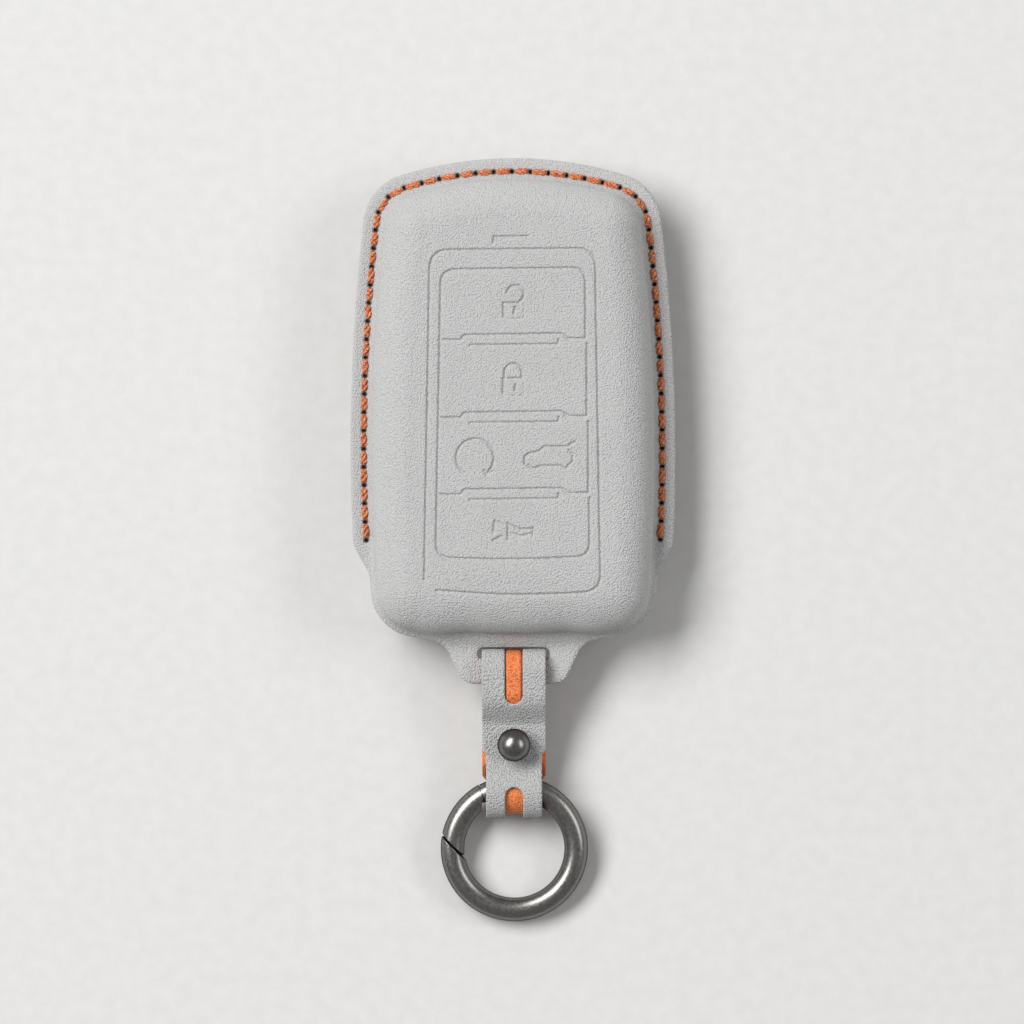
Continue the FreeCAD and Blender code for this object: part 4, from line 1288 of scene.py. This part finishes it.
@dataclass
class GateRing(RoundMetal):
    """Round wire ring with its hinged gate, pin and spring."""

    ring_radius: float = 10.5 * MM
    wire_radius: float = 2.0 * MM
    spring_keep: float = 0.9  # share of the spring's length that is left when the gate is open
    axis: np.ndarray = field(init=False)
    middle: np.ndarray = field(init=False)

    def build(self) -> None:
        """Copy ring and gate with true roundness and dress the small pieces."""
        hinge = next(joint for joint in frame["joints"] if joint["name"] == "gate_pivot")
        mount = next(item for item in frame["record"]["mounts"] if item["name"] == "key_ring")
        self.axis = np.array(hinge["axis"]) / np.linalg.norm(hinge["axis"])
        pivot = np.array(hinge["pos_m"])
        out = pivot - np.array(mount["pos_m"])
        out -= self.axis * (out @ self.axis)
        self.middle = pivot - out / np.linalg.norm(out) * self.ring_radius
        wires = (("ring_body", "ring_wire", Body.RING), ("ring_gate", "gate_wire", Body.GATE))
        for node, name, body in wires:
            wire = self.round_copy(node, name)
            dress(wire, self.palette.ring)
            settle(wire, body, node)
        dress(frame["nodes"]["gate_pin"], self.palette.steel)
        self.coil(pivot)

    def coil(self, pivot: np.ndarray) -> None:
        """Copy the spring, dress it in steel and let it ride on the ring.

        Args:
            pivot: Place of the gate's hinge; not used.
        """
        spring = new_object("spring_coil", frame["nodes"]["gate_spring"].data.copy())
        points = points_of(spring.data)
        dress(spring, self.palette.steel)
        settle(spring, Body.RING, "gate_spring")
        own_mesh(spring)

    def outward(self, spots: np.ndarray) -> tuple[np.ndarray, np.ndarray]:
        """Exact normals of the wire.

        Args:
            spots: Points on or near the ring.

        Returns:
            Normals, and heights over the wire's surface.
        """
        flat = spots - self.middle
        radial = flat - (flat @ self.axis)[:, None] * self.axis
        core = radial / np.maximum(np.linalg.norm(radial, axis=1), TINY)[:, None] * self.ring_radius
        away = flat - core
        length = np.linalg.norm(away, axis=1)
        return away / np.maximum(length, TINY)[:, None], length - self.wire_radius


# Studio
class Lamp(NamedTuple):
    """An oval soft light that points at the cover; its sizes run level and upright."""

    name: str
    spot: tuple[float, float, float]
    size: tuple[float, float]
    power: float


@dataclass
class Studio:
    """Pale floor, soft light from the upper left, a weaker one from the right, and the camera above."""

    palette: Palette
    view: Viewpoint
    sensor_mm: float = 36.0
    clip_end: float = 20.0
    floor_size: float = 3.0
    floor_level: float = -0.02 * MM  # just under the cover, so that no two faces share a plane
    surround: float = 0.28
    surround_tone: str = "#F2F3F5"
    lamps: tuple[Lamp, ...] = (
        Lamp("key_light", (-1.24, 0.74, 1.72), (2.1, 0.9), 61.0),
        Lamp("side_light", (1.69, 0.3, 1.36), (1.7, 0.64), 12.5),
    )

    def build(self) -> None:
        """Set floor, lights and camera."""
        self.floor()
        self.lights()
        self.camera()

    def floor(self) -> None:
        """Lay a pale sheet just under the cover."""
        half, level = self.floor_size / 2, self.floor_level
        mesh = bpy.data.meshes.new("floor")
        corners = [(-half, -half, level), (half, -half, level), (half, half, level), (-half, half, level)]
        mesh.from_pydata(corners, [], [(0, 1, 2, 3)])
        sheet = new_object("floor", mesh)
        sheet.data.materials.append(self.palette.paper)

    def lights(self) -> None:
        """Hang the lamps in a pale surround."""
        for lamp in self.lamps:
            light = bpy.data.lights.new(lamp.name, "AREA")
            light.energy = lamp.power
            light.shape = "ELLIPSE"
            light.size, light.size_y = lamp.size
            item = bpy.data.objects.new(lamp.name, light)
            item.location = lamp.spot
            item.rotation_euler = (-Vector(lamp.spot)).to_track_quat("-Z", "Y").to_euler()
            bpy.context.scene.collection.objects.link(item)
        world = bpy.data.worlds.new("studio")
        world.use_nodes = True
        background = world.node_tree.nodes["Background"]
        background.inputs["Color"].default_value = linear(self.surround_tone)
        background.inputs["Strength"].default_value = self.surround
        bpy.context.scene.world = world
        bpy.context.scene.view_settings.view_transform = "Standard"

    def camera(self) -> None:
        """Look straight down with the framing of the photograph."""
        view = self.view
        lens = bpy.data.cameras.new("camera")
        lens.sensor_width = self.sensor_mm
        lens.lens = self.sensor_mm * view.distance / (view.image_pixels / view.pixels_per_mm * MM)
        lens.clip_end = self.clip_end
        item = bpy.data.objects.new("camera", lens)
        item.location = (view.aim[0] * MM, view.aim[1] * MM, view.focus_level + view.distance)
        item.rotation_euler = (0.0, 0.0, math.radians(view.roll))
        bpy.context.scene.collection.objects.link(item)
        bpy.context.scene.camera = item


def main() -> None:
    """Build the studio and every sub-assembly."""
    logging.basicConfig(level=logging.INFO, format="%(name)s: %(message)s")
    palette = Palette()
    view = Viewpoint()
    assemblies = (
        Studio(palette, view),
        Case(palette, view),
        Strap(palette, view),
        Stud(palette),
        GateRing(palette),
    )
    for assembly in assemblies:
        assembly.build()
        log.info("%s built", type(assembly).__name__)


if __name__ == "__main__":
    main()
